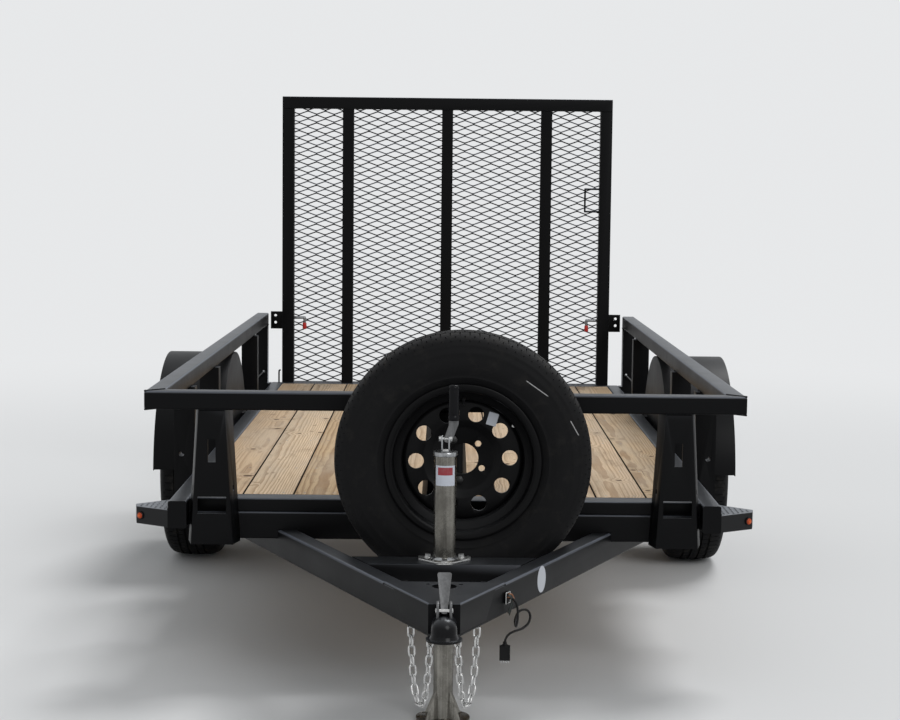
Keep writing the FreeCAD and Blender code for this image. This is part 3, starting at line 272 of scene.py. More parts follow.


# pressure-treated pine: rings about each board's own pith, straight fibres, checks, stains and a grey bloom, with
# painted shade along each board's long edges and on its sides, where the gaps are
def pineWood():
    bench = Bench("pineBoards")
    place = bench.place()
    x, y, z = bench.parts(place)
    half, pitch = boards["half"] * mm, boards["pitch"] * mm
    scaled = (x + half) / pitch
    number = scaled.reckon("FLOOR")
    seed = bench.make("ShaderNodeTexWhiteNoise", {"noise_dimensions": "1D"}, {"W": number + 3.0}, "Value")
    other = bench.make("ShaderNodeTexWhiteNoise", {"noise_dimensions": "1D"}, {"W": number + 41.0}, "Value")
    local = x + half - (number + 0.5) * pitch
    drift = bench.noise(bench.vector(seed * 37.0, y * 0.45, other * 11.0), 1.0, 1.5)
    ripple = bench.noise(bench.vector(x * 9.0 + seed * 20.0, y * 1.1, z * 9.0), 2.2, 3.0)
    cellX, cellY = boards["knotCell"]
    knotX, knotY = local / cellX + seed * 7.0, y / cellY + other * 13.0
    knots = bench.make("ShaderNodeTexVoronoi", {"feature": "F1", "voronoi_dimensions": "2D"},
                       {"Vector": bench.vector(knotX, knotY, 0.0), "Scale": 1.0, "Randomness": 1.0}, "Position")
    chance, size, side = bench.parts(Wire(bench, knots.socket.node.outputs["Color"]))
    nearX, nearY, nearZ = bench.parts(knots)
    awayX, awayY = (knotX - nearX) * cellX, (knotY - nearY) * cellY
    knotFar = farFrom(awayX, awayY)
    has = bench.step(chance, 0.3, 0.34)
    reach = size * 0.01 + 0.008
    knot = (1.0 - bench.step(knotFar / reach, 0.7, 1.0)) * has
    swirl = (1.0 - bench.step(knotFar, 0.004, 0.06)) * has
    outward = awayX * (bench.step(side, 0.49, 0.51) * 2.0 - 1.0)
    thin = (awayY + (ripple - 0.5) * 0.03).reckon("ABSOLUTE") + outward * 0.14
    spike = (1.0 - bench.step(thin, 0.003, 0.012)) * bench.step(outward, -0.002, 0.004)
    spike = spike * (1.0 - bench.step(outward, 0.03, 0.075)) * has * bench.step(size, 0.5, 0.6)
    sideways = local - (seed - 0.5) * 0.13 + (drift - 0.5) * 0.05
    deep = z - 0.43 + other * 0.05 + (ripple - 0.5) * 0.006
    wave = (farFrom(sideways, deep) + swirl * 0.007 + (ripple - 0.5) * 0.002) / boards["ring"]
    saw = wave.reckon("FRACT")
    late = bench.step(saw, 0.35, 0.92) * (1.0 - bench.step(saw, 0.93, 1.0))
    fibre = bench.noise(bench.stretched(place, (780.0, 6.0, 780.0)), 1.0, 3.0, 0.6)
    check = bench.noise(bench.vector(x * 330.0, y * 3.6 + seed * 9.0, z * 60.0), 1.0, 2.0, 0.5)
    split = bench.step(check, 0.67, 0.72) * bench.step(bench.noise(place, 3.1, 3.0), 0.44, 0.6)
    pale = bench.tint(seed, colour(*boards["pale"]), colour(*boards["tan"]))
    warm = bench.tint(bench.step(other, 0.5, 0.9) * 0.7, pale, colour(*boards["honey"]))
    rings = bench.tint(late * (0.5 + other * 0.3), warm, colour(*boards["lateWood"]))
    streaks = bench.tint(bench.step(fibre, 0.42, 0.7) * 0.5, rings, colour(*boards["fibre"]))
    bloom = bench.step(bench.noise(bench.stretched(place, (6.0, 1.6, 6.0)), 1.0, 5.0, 0.65), 0.38, 0.68)
    teeth = ((y + x * 0.18 + (ripple - 0.5) * 0.004) * boards["sawPitch"]).reckon("SINE")
    sawn = bench.tint(bench.step(teeth, -0.2, 0.9) * bench.step(drift, 0.35, 0.6) * 0.16, streaks,
                      colour(*boards["sawMark"]))
    greyed = bench.tint(bloom * 0.45, sawn, colour(*boards["grey"]))
    knotted = bench.tint(knot * 0.95, bench.tint(spike * 0.95, greyed, colour(*boards["spike"])),
                         colour(*boards["knot"]))
    dirt = bench.step(bench.noise(bench.stretched(place, (14.0, 3.6, 14.0)), 1.0, 5.0, 0.72), 0.52, 0.74)
    stain = bench.step(bench.noise(bench.vector(x * 22.0, y * 9.0, 4.0), 1.0, 4.0, 0.6), 0.64, 0.7)
    soiled = bench.tint(dirt * 0.4 + stain * 0.5, knotted, colour(*boards["dirt"]))
    # painted shade: a dark strip along each board's long edges stands in for the shadow in the gaps; the same dark
    # colour also marks the real checks
    rim = bench.step(local.reckon("ABSOLUTE"), boards["edge"], boards["edge"] + 0.0028)
    shade = bench.tint(rim * 0.85 + split * 0.7, soiled, colour(*boards["check"]))
    # painted shade: the board sides, which face into the gaps, are painted almost black
    gapSideShade = bench.step(bench.parts(bench.facing())[0].reckon("ABSOLUTE"), 0.35, 0.8)
    shade = bench.tint(gapSideShade, shade, colour(*boards["gapSideShade"]))
    rough = fibre * 0.2 + 0.6 - late * 0.06
    skin = bench.bump(fibre * 0.6 + late * 0.3 - knot * 0.2 - split * 0.9, 0.4, 0.0012)
    return bench.finish({"Base Color": shade, "Roughness": rough, "Normal": skin, "Specular IOR Level": 0.1})


# tyre rubber about one wheel: mould rings and fine ribs on the sidewall, a dustier tread than sidewall, and thin pale
# streaks painted on the spare's sidewall
def tyreRubber(name, centre, sideAxis, marks):
    bench = Bench(name)
    place = bench.stretched(bench.place(), (1, 1, 1), tuple(-centre))
    x, y, z = bench.parts(place)
    flat = y if sideAxis == "x" else x
    radius = farFrom(flat, z)
    angle = flat.reckon("ARCTAN2", z, flat)
    band = bench.step(radius, 0.238, 0.241) * (1.0 - bench.step(radius, 0.284, 0.287))
    wave = (angle * wheels["sideRibs"]).reckon("SINE")
    ridge = (radius * wheels["mouldRings"]).reckon("SINE")
    worn = bench.noise(place, 26.0, 5.0, 0.65)
    fine = bench.noise(place, 900.0, 2.0)
    tread = bench.step(radius, 0.325, 0.337)
    dusty = bench.step(worn, 0.5, 0.75) * (0.12 + tread * 0.3)
    smear = bench.step(bench.noise(bench.vector(angle * 2.0, radius * 60.0, 0.0), 1.4, 4.0, 0.7), 0.6, 0.74)
    shade = bench.tint(dusty + smear * 0.08 * (1.0 - tread), colour(0.0045, 0.0045, 0.005),
                       colour(0.05, 0.046, 0.04))
    # thin pale streaks on the spare's sidewall, at the places given in marks
    for markX, markZ, turn, reach in marks:
        right, up = flat - markX, z - markZ
        run = right * math.cos(turn) + up * math.sin(turn)
        off = up * math.cos(turn) - right * math.sin(turn)
        line = (1.0 - bench.step(run.reckon("ABSOLUTE"), reach * 0.8, reach)) * (
            1.0 - bench.step(off.reckon("ABSOLUTE"), 0.0006, 0.0016))
        shade = bench.tint(line * bench.step(bench.noise(place, 300.0, 3.0), 0.3, 0.5) * 0.8, shade,
                           colour(*wheels["paleStreak"]))
    rough = 0.48 + worn * 0.2 + tread * 0.1
    height = band * wave * 0.12 + ridge * 0.05 * (1.0 - tread) + fine * 0.3
    skin = bench.bump(height, 0.22, 0.0008)
    return bench.finish({"Base Color": shade, "Roughness": rough, "Normal": skin, "Specular IOR Level": 0.12})


# moulded or dipped plastic, with a fine grain and scuffs
def plastic(name, base, dull, grain, scuff, sheen=0.4):
    bench = Bench(name)
    place = bench.place()
    mark = bench.step(bench.noise(place, 70.0, 5.0, 0.7), 0.6, 0.78)
    shade = bench.tint(mark * scuff, colour(*base), colour(*[min(1.0, part * 1.7 + 0.02) for part in base]))
    skin = bench.bump(bench.noise(place, 1100.0, 2.0), grain, 0.0003)
    return bench.finish({"Base Color": shade, "Roughness": mark * 0.15 + dull, "Normal": skin,
                         "Specular IOR Level": sheen})


# lamp lens: coloured plastic with small prisms under a glossy face, with painted shade towards the amber lens's rim and
# a faint painted glow, though the lamps are not lit
def lensPlastic(name, base, deep, glow, centre=None):
    bench = Bench(name)
    place = bench.place()
    x, y, z = bench.parts(place)
    columns = ((x + y) * lamps["prisms"]).reckon("SINE")
    rows = (z * lamps["prisms"]).reckon("SINE")
    prism = bench.step(columns * rows, -0.6, 0.6)
    shade = bench.tint(prism, colour(*[(first + second) / 2 for first, second in zip(base, deep)]), colour(*base))
    if centre:
        middle = at(*centre)
        sideways, forward, up = x.reckon("ABSOLUTE") - middle.x, y - middle.y, z - middle.z
        # painted shade: the amber lens darkens towards its rim
        lensRimShade = bench.step(farFrom(sideways, forward, up), *lamps["lensRimShade"])
        shade = bench.tint(lensRimShade, shade, colour(*deep))
    skin = bench.bump(prism, 0.25, 0.0006)
    # painted glow: the lenses emit a little light of their own colour, though the lamps are off
    return bench.finish({"Base Color": shade, "Roughness": 0.16, "Normal": skin, "Coat Weight": 0.25,
                         "Specular IOR Level": 0.2, "Emission Color": shade, "Emission Strength": glow})


# a blank printed label: white film, painted darker and bluish as white looks in shade, with one plain red band inside
# its margins
def blankLabel(name, low, high, half):
    bench = Bench(name)
    place = bench.place()
    x, z = bench.parts(place)[::2]
    band = bench.step(z, low, low + 0.0006) * (1.0 - bench.step(z, high, high + 0.0006))
    band = band * (1.0 - bench.step(x.reckon("ABSOLUTE"), half, half + 0.0006))
    grime = bench.step(bench.noise(place, 60.0, 5.0, 0.7), 0.5, 0.8)
    # painted shade: the film's white is given darker and bluish, as white looks under sky light in shade
    film = bench.tint(band, colour(0.5, 0.53, 0.6), colour(0.27, 0.018, 0.03))
    shade = bench.tint(grime * 0.25, film, colour(0.3, 0.29, 0.27))
    skin = bench.bump(bench.noise(place, 400.0, 2.0), 0.05, 0.0003)
    return bench.finish({"Base Color": shade, "Roughness": grime * 0.2 + 0.35, "Normal": skin})


# amber marker lamps and red tail lamps
lamps = {"markerPlace": (845.28, 52.05, 458.0), "markerFace": (0.53, -0.848, 0.0),
         "markerBase": ((0, 0), (0, 11.4), (3.2, 11.4), (4.2, 10.6), (4.2, 8.9), (3.0, 8.6), (3.0, 0)),
         "markerLens": ((2.6, 0), (2.6, 8.7), (4.6, 8.5), (6.4, 7.3), (7.5, 5.2), (8.0, 2.6), (8.1, 0)),
         "lensRimShade": (0.0072, 0.0094), "prisms": 1500.0,
         "tailLow": (777.7, 3048.0, 560.0), "tailHigh": (822.5, 3066.0, 700.0), "tailBase": 6.0, "tailScrews": 14.0}

finishes = {
    # the black coat's last number is the strength of its painted edge highlight
    "black": powderCoat("blackPowderCoat", (0.004, 0.0041, 0.0046), (0.1, 0.1, 0.1), 0.4, 0.12, 0.14, 0.08, 0.5,
                        0.55),
    "sheet": powderCoat("fenderCoat", (0.0038, 0.0039, 0.0044), (0.07, 0.07, 0.07), 0.42, 0.1, 0.1, 0.08, 0.12),
    "tread": powderCoat("treadPlate", (0.0045, 0.0046, 0.0054), (0.1, 0.1, 0.1), 0.34, 0.1, 0.2, 0.25, 0.8),
    "weld": powderCoat("coatedWeld", (0.0048, 0.0048, 0.0054), (0.09, 0.09, 0.09), 0.42, 0.3, 0.15, 0.12, 0.3),
    "gloss": powderCoat("glossCoat", (0.004, 0.004, 0.0047), (0.08, 0.08, 0.08), 0.22, 0.05, 0.06, 0.14, 0.6),
    "rim": powderCoat("rimSatinCoat", (0.0042, 0.0042, 0.0046), (0.08, 0.08, 0.08), 0.34, 0.08, 0.1, 0.1, 0.2),
    "zinc": zincPlate("zincPlate", (0.4, 0.41, 0.42), (0.17, 0.175, 0.18), 0.3, (26.0, 26.0, 0.5)),
    # painted reflection: the jack tube's zinc is darker than plated zinc, standing in for the dark surroundings it
    # reflects
    "tube": zincPlate("tubeZinc", (0.27, 0.26, 0.235), (0.07, 0.065, 0.055), 0.26, (22.0, 22.0, 0.2)),
    "dull": zincPlate("dullZinc", (0.17, 0.172, 0.176), (0.08, 0.08, 0.08), 0.5, (20.0, 20.0, 2.0)),
    "nut": zincPlate("oiledNut", (0.05, 0.05, 0.05), (0.03, 0.03, 0.03), 0.5, (20.0, 20.0, 20.0)),
    "bright": zincPlate("brightZinc", (0.62, 0.62, 0.61), (0.4, 0.4, 0.4), 0.26, (20.0, 20.0, 20.0)),
    "hub": powderCoat("hubCoat", (0.008, 0.008, 0.0085), (0.09, 0.09, 0.09), 0.42, 0.1, 0.12, 0.2, 0.2),
    "spring": springPaint(),
    "pine": pineWood(),
    "plastic": plastic("blackPlastic", (0.005, 0.005, 0.0055), 0.42, 0.12, 0.2, 0.15),
    "gripPlastic": plastic("gripPlastic", (0.0042, 0.0042, 0.0054), 0.24, 0.04, 0.1, 0.12),
    "cord": plastic("cordRubber", (0.005, 0.005, 0.0055), 0.46, 0.1, 0.25, 0.2),
    "redDip": plastic("redDip", (0.5, 0.022, 0.016), 0.3, 0.05, 0.15),
    "amber": lensPlastic("amberLens", (0.86, 0.17, 0.012), (0.3, 0.035, 0.004), 0.14, lamps["markerPlace"]),
    "redLens": lensPlastic("redLens", (0.34, 0.008, 0.008), (0.16, 0.004, 0.004), 0.02),
    "sticker": plastic("blankSticker", (0.42, 0.44, 0.48), 0.35, 0.03, 0.0, 0.4),
    "copper": plastic("brownWire", (0.24, 0.1, 0.045), 0.4, 0.05, 0.2),
    "wire": plastic("darkWire", (0.02, 0.024, 0.022), 0.4, 0.05, 0.2),
}
print("trailer:", len(finishes), "finishes made")

weld = 0.00002  # points closer than this are made one


# selection and edit helpers
def leaveEdit():
    if bpy.context.object and bpy.context.object.mode != "OBJECT":
        bpy.ops.object.mode_set(mode="OBJECT")


def pick(*things):
    leaveEdit()
    bpy.ops.object.select_all(action="DESELECT")
    for thing in things:
        thing.select_set(True)
    bpy.context.view_layer.objects.active = things[-1]
    return things[-1]


def edit(kind):
    bpy.context.tool_settings.mesh_select_mode = (kind == "VERT", kind == "EDGE", kind == "FACE")
    bpy.ops.object.mode_set(mode="EDIT")


def editAll(thing, kind="VERT"):
    pick(thing)
    edit(kind)
    bpy.ops.mesh.select_all(action="SELECT")


def settle(thing):
    pick(thing)
    bpy.ops.object.transform_apply(location=True, rotation=True, scale=True)
    return thing


def unmark(mesh):
    for group in (mesh.vertices, mesh.edges, mesh.polygons):
        group.foreach_set("select", [False] * len(group))


def chooseFaces(thing, test):
    pick(thing)
    unmark(thing.data)
    for face in thing.data.polygons:
        face.select = bool(test(face.center, face.normal))
    edit("FACE")


def chooseEdges(thing, sharp, test=None):
    pick(thing)
    edit("EDGE")
    bpy.ops.mesh.select_all(action="DESELECT")
    bpy.ops.mesh.edges_select_sharp(sharpness=math.radians(sharp))
    if test is None:
        return
    bpy.ops.object.mode_set(mode="OBJECT")
    mesh = thing.data
    kept = []
    for edge in mesh.edges:
        if edge.select:
            first, last = (mesh.vertices[index].co for index in edge.vertices)
            run = last - first
            if run.length > 0 and test(run.normalized(), (first + last) / 2, run.length):
                kept.append(edge.index)
    unmark(mesh)
    for index in kept:
        edge = mesh.edges[index]
        edge.select = True
        for corner in edge.vertices:
            mesh.vertices[corner].select = True
    edit("EDGE")


# the faces that pass the test are inset by each (thickness, depth) in turn, and can then be pushed in or out
def insetFaces(thing, test, steps, push=None):
    chooseFaces(thing, test)
    for thickness, depth in steps:
        bpy.ops.mesh.inset(thickness=thickness * mm, depth=depth * mm)
    if push:
        bpy.ops.mesh.extrude_region_move(TRANSFORM_OT_translate={"value": Vector(push) * mm})
    leaveEdit()
    return thing


# what lies past a plane is cut away
def cutAway(thing, place, normal, fill=True):
    editAll(thing)
    bpy.ops.mesh.bisect(plane_co=place, plane_no=normal, use_fill=fill, clear_outer=True)
    leaveEdit()


def repeated(thing, count, offset, merged=False):
    pick(thing)
    row = thing.modifiers.new("repeat", "ARRAY")
    row.count, row.constant_offset_displace = count, offset
    row.use_relative_offset, row.use_constant_offset = False, True
    row.use_merge_vertices, row.merge_threshold = merged, weld
    bpy.ops.object.modifier_apply(modifier="repeat")
    return thing


def roundEdges(thing, width, segments=3, sharp=35, test=None):
    chooseEdges(thing, sharp, test)
    bpy.ops.mesh.bevel(offset=width * mm, segments=segments, affect="EDGES", clamp_overlap=True)
    leaveEdit()
    return thing


def smooth(thing, angle=35):
    pick(thing)
    bpy.ops.object.shade_smooth_by_angle(angle=math.radians(angle))
    return thing


def dress(thing, finish):
    thing.data.materials.clear()
    thing.data.materials.append(finishes[finish] if isinstance(finish, str) else finish)
    return thing


def block(low, high):
    low, high = at(*low), at(*high)
    leaveEdit()
    bpy.ops.mesh.primitive_cube_add(size=1, location=(low + high) / 2, scale=high - low)
    return settle(bpy.context.object)


def towards(axis):
    return upward.rotation_difference(Vector(axis)).to_euler()


def drum(centre, axis, radius, length, sides=32):
    leaveEdit()
    bpy.ops.mesh.primitive_cylinder_add(vertices=sides, radius=radius * mm, depth=length * mm,
                                        location=centre, rotation=towards(axis))
    return settle(bpy.context.object)


# a line of points, drawn by extruding one vertex
def drawLine(points):
    leaveEdit()
    bpy.ops.mesh.primitive_plane_add(size=0.001, location=points[0])
    thing = bpy.context.object
    edit("VERT")
    bpy.ops.mesh.select_all(action="SELECT")
    bpy.ops.mesh.merge(type="CENTER")
    for before, after in zip(points, points[1:]):
        bpy.ops.mesh.extrude_vertices_move(TRANSFORM_OT_translate={"value": after - before})
    return settle(thing)


def mend(thing):
    editAll(thing)
    bpy.ops.mesh.remove_doubles(threshold=weld)
    bpy.ops.mesh.normals_make_consistent(inside=False)
    leaveEdit()
    return thing


# a profile of (along, radius) points in millimetres, spun about an axis through centre
def lathe(profile, centre, axis, steps=48):
    axis = Vector(axis)
    side = axis.orthogonal().normalized()
    thing = drawLine([centre + (axis * a + side * r) * mm for a, r in profile])
    editAll(thing)
    bpy.ops.mesh.spin(steps=steps, angle=2 * math.pi, center=centre, axis=axis)
    return mend(thing)


# a flat outline, filled and extruded
def plateFrom(points, drop):
    thing = drawLine(list(points) + [points[0]])
    editAll(thing)
    bpy.ops.mesh.remove_doubles(threshold=weld)
    bpy.ops.mesh.edge_face_add()
    bpy.ops.mesh.extrude_region_move(TRANSFORM_OT_translate={"value": drop})
    return mend(thing)


# a round line bent through points
def curveThrough(name, points, radius, smoothing, roundness):
    curve = bpy.data.curves.new(name, "CURVE")
    curve.dimensions = "3D"
    spline = curve.splines.new("NURBS")
    spline.points.add(len(points) - 1)
    for point, place in zip(spline.points, points):
        point.co = (*place, 1.0)
    spline.order_u = 3
    spline.use_endpoint_u = True
    curve.resolution_u, curve.bevel_resolution = smoothing, roundness
    curve.bevel_depth = radius * mm
    curve.use_fill_caps = True
    return linked(name, curve)


# the same, made a mesh
def rod(points, radius, finish, smoothing=6):
    pick(curveThrough("rod", points, radius, smoothing, 3))
    bpy.ops.object.convert(target="MESH")
    return dress(smooth(bpy.context.view_layer.objects.active, 50), finish)


def copied(model, matrix):
    twin = linked(model.name, model.data.copy())
    twin.matrix_world = matrix
    settle(twin)
    if matrix.determinant() < 0:
        edit("FACE")
        bpy.ops.mesh.select_all(action="SELECT")
        bpy.ops.mesh.flip_normals()
        leaveEdit()
    return twin


def joined(name, things):
    pick(*things)
    if len(things) > 1:
        bpy.ops.object.join()
    thing = bpy.context.view_layer.objects.active
    thing.name = name
    thing.data.name = name
    return thing


def drop(thing):
    bpy.data.objects.remove(thing)


def twinsOf(things):
    return [copied(thing, Matrix.Scale(-1, 4, across)) for thing in things]


# parts joined to one piece of the trailer
def mounted(name, parts, body, slotName, *replaced):
    thing = joined(name, parts)
    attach(thing, body)
    if replaced:
        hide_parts(*replaced)
    return thing


# a copy of a CAD node, its triangles merged and its sharp edges rounded as the real steel's are
def softened(node, width, segments=3, sharp=35, test=None, angle=35):
    twin = linked(node, nodes[node].data.copy())
    editAll(twin)
    bpy.ops.mesh.remove_doubles(threshold=weld / 2)
    bpy.ops.mesh.dissolve_limited(angle_limit=math.radians(0.5))
    leaveEdit()
    if width:
        roundEdges(twin, width, segments, sharp, test)
    return smooth(twin, angle)


def alongAxis(axis):
    axis = Vector(axis).normalized()
    return lambda run, middle, length: abs(run.dot(axis)) > 0.95


# edges across a lug or cheek, above a height
def topCorners(height):
    return lambda run, middle, length: abs(run.x) > 0.9 and middle.z > height * mm


# wiring cord, from the tongue rail to its plug
wiring = {
    "diameter": 6.0,
    "length": 343.0,
    "route": ((151.37, -598, 384), (162.21, -603.16, 384), (171.1, -606.7, 378.8), (176.9, -607.9, 369.7),
              (179.2, -607.1, 354.9), (180, -602, 336), (179, -591, 318), (177.5, -570, 304), (176.5, -546, 301),
              (175.2, -529, 313), (185.6, -520.8, 333.5), (206.4, -505.2, 333.5), (216.8, -497.4, 316),
              (212, -501, 296.5), (196, -514, 285.5), (174, -531, 283), (161.1, -541.1, 278.6),
              (154.1, -546.6, 270.6), (151, -549, 260.9), (151, -549, 251.4)),
    "plugLow": (138.0, -555.0, 214.4), "plugHigh": (164.0, -543.0, 251.4), "pins": 4, "pinPitch": 6.0,
    "pin": ((2, 0), (2, 2.0), (-6, 2.0), (-6.6, 1.6), (-7, 0.9), (-7, 0)),
    "neck": ((0, 0), (0, 6.6), (4, 6.2), (4.6, 5.2), (6, 5.2), (6.6, 6.0), (8.6, 5.6), (9.2, 4.6), (10.6, 4.6),
             (11.2, 5.2), (13, 4.8), (13.6, 3.2), (13.6, 0)), "neckSunk": 3.5,
    "ring": ((-8, -13), (-8, 13), (17, 13), (17, -13)),
    "darkWires": ((7, 5), (3, 6.5), (-2, 5)), "copperWires": ((7, 2), (-4, 3), (1.5, 9)),
}


def makeCord():
    points = [at(*point) for point in wiring["route"]]
    cord = dress(curveThrough("wiringCord", points, wiring["diameter"] / 2, 10, 4), "cord")
    return mounted("wiringCord", [cord], "frame", "cord_rubber", "wiring_cord"), points


def makePlug():
    low, high = wiring["plugLow"], wiring["plugHigh"]
    middleX, middleY = (low[0] + high[0]) / 2, (low[1] + high[1]) / 2
    housing = insetFaces(block(low, high), lambda centre, normal: normal.z > 0.9, [(3.5, 0)], (0, 0, -0.4))
    insetFaces(housing, lambda centre, normal: normal.y < -0.9, [(3, -0.8)])
    roundEdges(housing, 1.2, 2, 60)
    parts = [dress(smooth(housing), "plastic")]
    neck = lathe(wiring["neck"], at(middleX, middleY, high[2] - wiring["neckSunk"]), upward, 20)
    parts.append(dress(smooth(neck, 50), "plastic"))
    for index in range(wiring["pins"]):
        x = middleX + wiring["pinPitch"] * (index - (wiring["pins"] - 1) / 2)
        pin = lathe(wiring["pin"], at(x, middleY, low[2]), upward, 14)
        parts.append(dress(smooth(pin), "bright"))
    return mounted("wiringPlug", parts, "frame", "black_plastic", "wiring_plug")


cord, route = makeCord()
plug = makePlug()
print("trailer: cord and plug")

# tubes and plates whose shape the CAD has: nodes, edge radius, which edges (an axis, or all), finish, slot
tongueRun = {"left": (0.47597, 1, 0), "right": (-0.47597, 1, 0)}
steel = [
    ("side_rail_left side_rail_right", 5.5, along, "black", "black_paint"),
    ("crossmembers", 5.0, across, "black", "black_paint"),
    ("front_header", 4.0, across, "black", "black_paint"),
    ("top_rail_front", 5.5, across, "black", "black_paint"),
    ("top_rail_left top_rail_right", 5.5, along, "black", "black_paint"),
    ("side_posts_left side_posts_right", 4.5, upward, "black", "black_paint"),
    ("corner_upright_left corner_upright_right centre_upright", 1.6, None, "black", "black_paint"),
    ("tongue_rail_left", 6.0, tongueRun["left"], "black", "black_paint"),
    ("tongue_rail_right", 6.0, tongueRun["right"], "black", "black_paint"),
    ("tongue_crossmember", 5.5, across, "black", "black_paint"),
    ("spare_bracket", 2.0, None, "black", "black_paint"),
    ("fender_left fender_right", 0.9, None, "sheet", "black_paint"),
    ("axle", 1.5, None, "black", "black_paint"),
    ("leaf_springs", 0.9, None, "spring", "spring_steel"),
    ("spring_mounts", 1.1, None, "black", "black_paint"),
    ("gate_hinges", 1.0, None, "black", "black_paint"),
    ("gate_latches", 0.8, None, "zinc", "zinc_plate"),
    ("gate_handle", 0.0, None, "black", "black_paint"),
    ("jack_leg", 1.4, None, "tube", "zinc_plate"),
]
for group, width, axis, finish, slotName in steel:
    for node in group.split():
        piece = softened(node, width, 3, 35, axis and alongAxis(axis))
        mounted(node + "Steel", [dress(piece, finish)], bodyOf[node], slotName, node)
print("trailer:", len(steel), "kinds of steel piece softened")

# coupler: its plate's long top edges are the roundest, and its dome is glossy
coupler = {"longRadius": 4.5, "edge": 1.3, "plateTop": 425.0, "longest": 0.09, "domeY": -861.0}


def makeCoupler():
    def isLongTop(run, middle, length):
        level = abs(run.z) < 0.05 and abs(run.y) > 0.3
        return level and length > coupler["longest"] and middle.z > coupler["plateTop"] * mm

    piece = softened("coupler", coupler["longRadius"], 4, 35, isLongTop)
    dress(smooth(roundEdges(piece, coupler["edge"])), "gloss")
    piece.data.materials.append(finishes["black"])
    for face in piece.data.polygons:
        face.material_index = 0 if face.center.y < at(0, coupler["domeY"], 0).y else 1
    mounted("couplerSteel", [piece], "frame", "black_paint", "coupler")


makeCoupler()
print("trailer: coupler")


# wedge brackets, hollow below, with lozenges on their tread plate
treads = {"pitch": 14.5, "rise": 1.3, "top": 482.0, "outline": ((762, 0), (858, 60), (866, 100), (762, 190)), "edge": 5,
          "wall": 4.8, "hollow": 42.0, "columns": 8, "rows": 14, "start": 766.0, "half": 4.0, "turn": 45.0,
          "stretch": (1.5, 0.55, 1, 1)}


def insideWedge(x, y):
    points = treads["outline"]
    for (x0, y0), (x1, y1) in zip(points, points[1:]):
        run = math.hypot(x1 - x0, y1 - y0)
        if ((x1 - x0) * (y - y0) - (y1 - y0) * (x - x0)) / run < treads["edge"]:
            return False
    return x > points[0][0] + 1


def makeLozenge():
    model = drum(Vector((0, 0, 0)), upward, treads["half"], treads["rise"] * 2, 10)
    chooseFaces(model, lambda centre, normal: normal.z > 0.9)
    bpy.ops.transform.resize(value=(0.5, 0.5, 1))
    leaveEdit()
    return dress(smooth(model, 60), "tread")


def makeWedges():
    wedges = insetFaces(softened("step_wedges", 0), lambda centre, normal: normal.z < -0.9,
                        [(treads["wall"], 0)], (0, 0, treads["hollow"]))
    dress(smooth(roundEdges(wedges, 1.6, 3, 50)), "tread")
    model, left = makeLozenge(), []
    for column in range(treads["columns"]):
        for row in range(treads["rows"]):
            x, y = treads["start"] + treads["pitch"] * (column + 0.5), treads["pitch"] * (row + 0.5)
            if insideWedge(x + treads["half"], y) and insideWedge(x - treads["half"], y):
                turn = math.radians(treads["turn"] if (row + column) % 2 else -treads["turn"])
                left.append(copied(model, Matrix.Translation(at(x, y, treads["top"])) @ Matrix.Rotation(turn, 4, "Z")
                                   @ Matrix.Diagonal(treads["stretch"])))
    drop(model)
    mounted("stepWedges", [wedges] + left + twinsOf(left), "frame", "black_paint", "step_wedges")


makeWedges()
print("trailer: wedge brackets")


def makeMarkerLamps():
    seat, face = at(*lamps["markerPlace"]), Vector(lamps["markerFace"])
    base, lens = lathe(lamps["markerBase"], seat, face, 40), lathe(lamps["markerLens"], seat, face, 40)
    left = [dress(smooth(base), "plastic"), dress(smooth(lens, 60), "amber")]
    mounted("markerLamps", left + twinsOf(left), "frame", "amber_lens", "marker_lamps")


def makeTailLamps():
    low, high = lamps["tailLow"], lamps["tailHigh"]
    base = block(low, (high[0], low[1] + lamps["tailBase"], high[2]))
    roundEdges(base, 3.0, 3, 40, alongAxis(along))
    lens = block((low[0] + 2.0, low[1] + 5.0, low[2] + 2.0), (high[0] - 2.0, high[1], high[2] - 2.0))
    roundEdges(lens, 4.0, 4, 40)
    insetFaces(lens, lambda centre, normal: normal.y > 0.95, [(4, -0.8)])
    screws = [fastener(at((low[0] + high[0]) / 2, high[1] - 0.9, z), along, 2.6, 1.6, 0, "bright")
              for z in (low[2] + lamps["tailScrews"], high[2] - lamps["tailScrews"])]
    left = [dress(smooth(base), "plastic"), dress(smooth(lens), "redLens")] + screws
    mounted("tailLamps", left + twinsOf(left), "frame", "red_lens", "tail_lamps")


# a hexagon head on a washer, or a round head where it has no washer
def fastener(place, axis, radius, height, washer, finish):
    axis = Vector(axis).normalized()
    base, sides = (1.6, 6) if washer else (0.0, 14)
    head = drum(place + axis * (base + height / 2) * mm, axis, radius, height, sides)
    insetFaces(head, lambda centre, normal: normal.dot(axis) > 0.9, [(radius * 0.22, radius * 0.1)])
    parts = [dress(smooth(head), finish)]
    if washer:
        ring = drum(place + axis * (base / 2) * mm, axis, washer, base, 24)
        parts.append(dress(smooth(ring), finish))
    return joined("fastener", parts)


makeMarkerLamps()
makeTailLamps()
print("trailer: lamps")


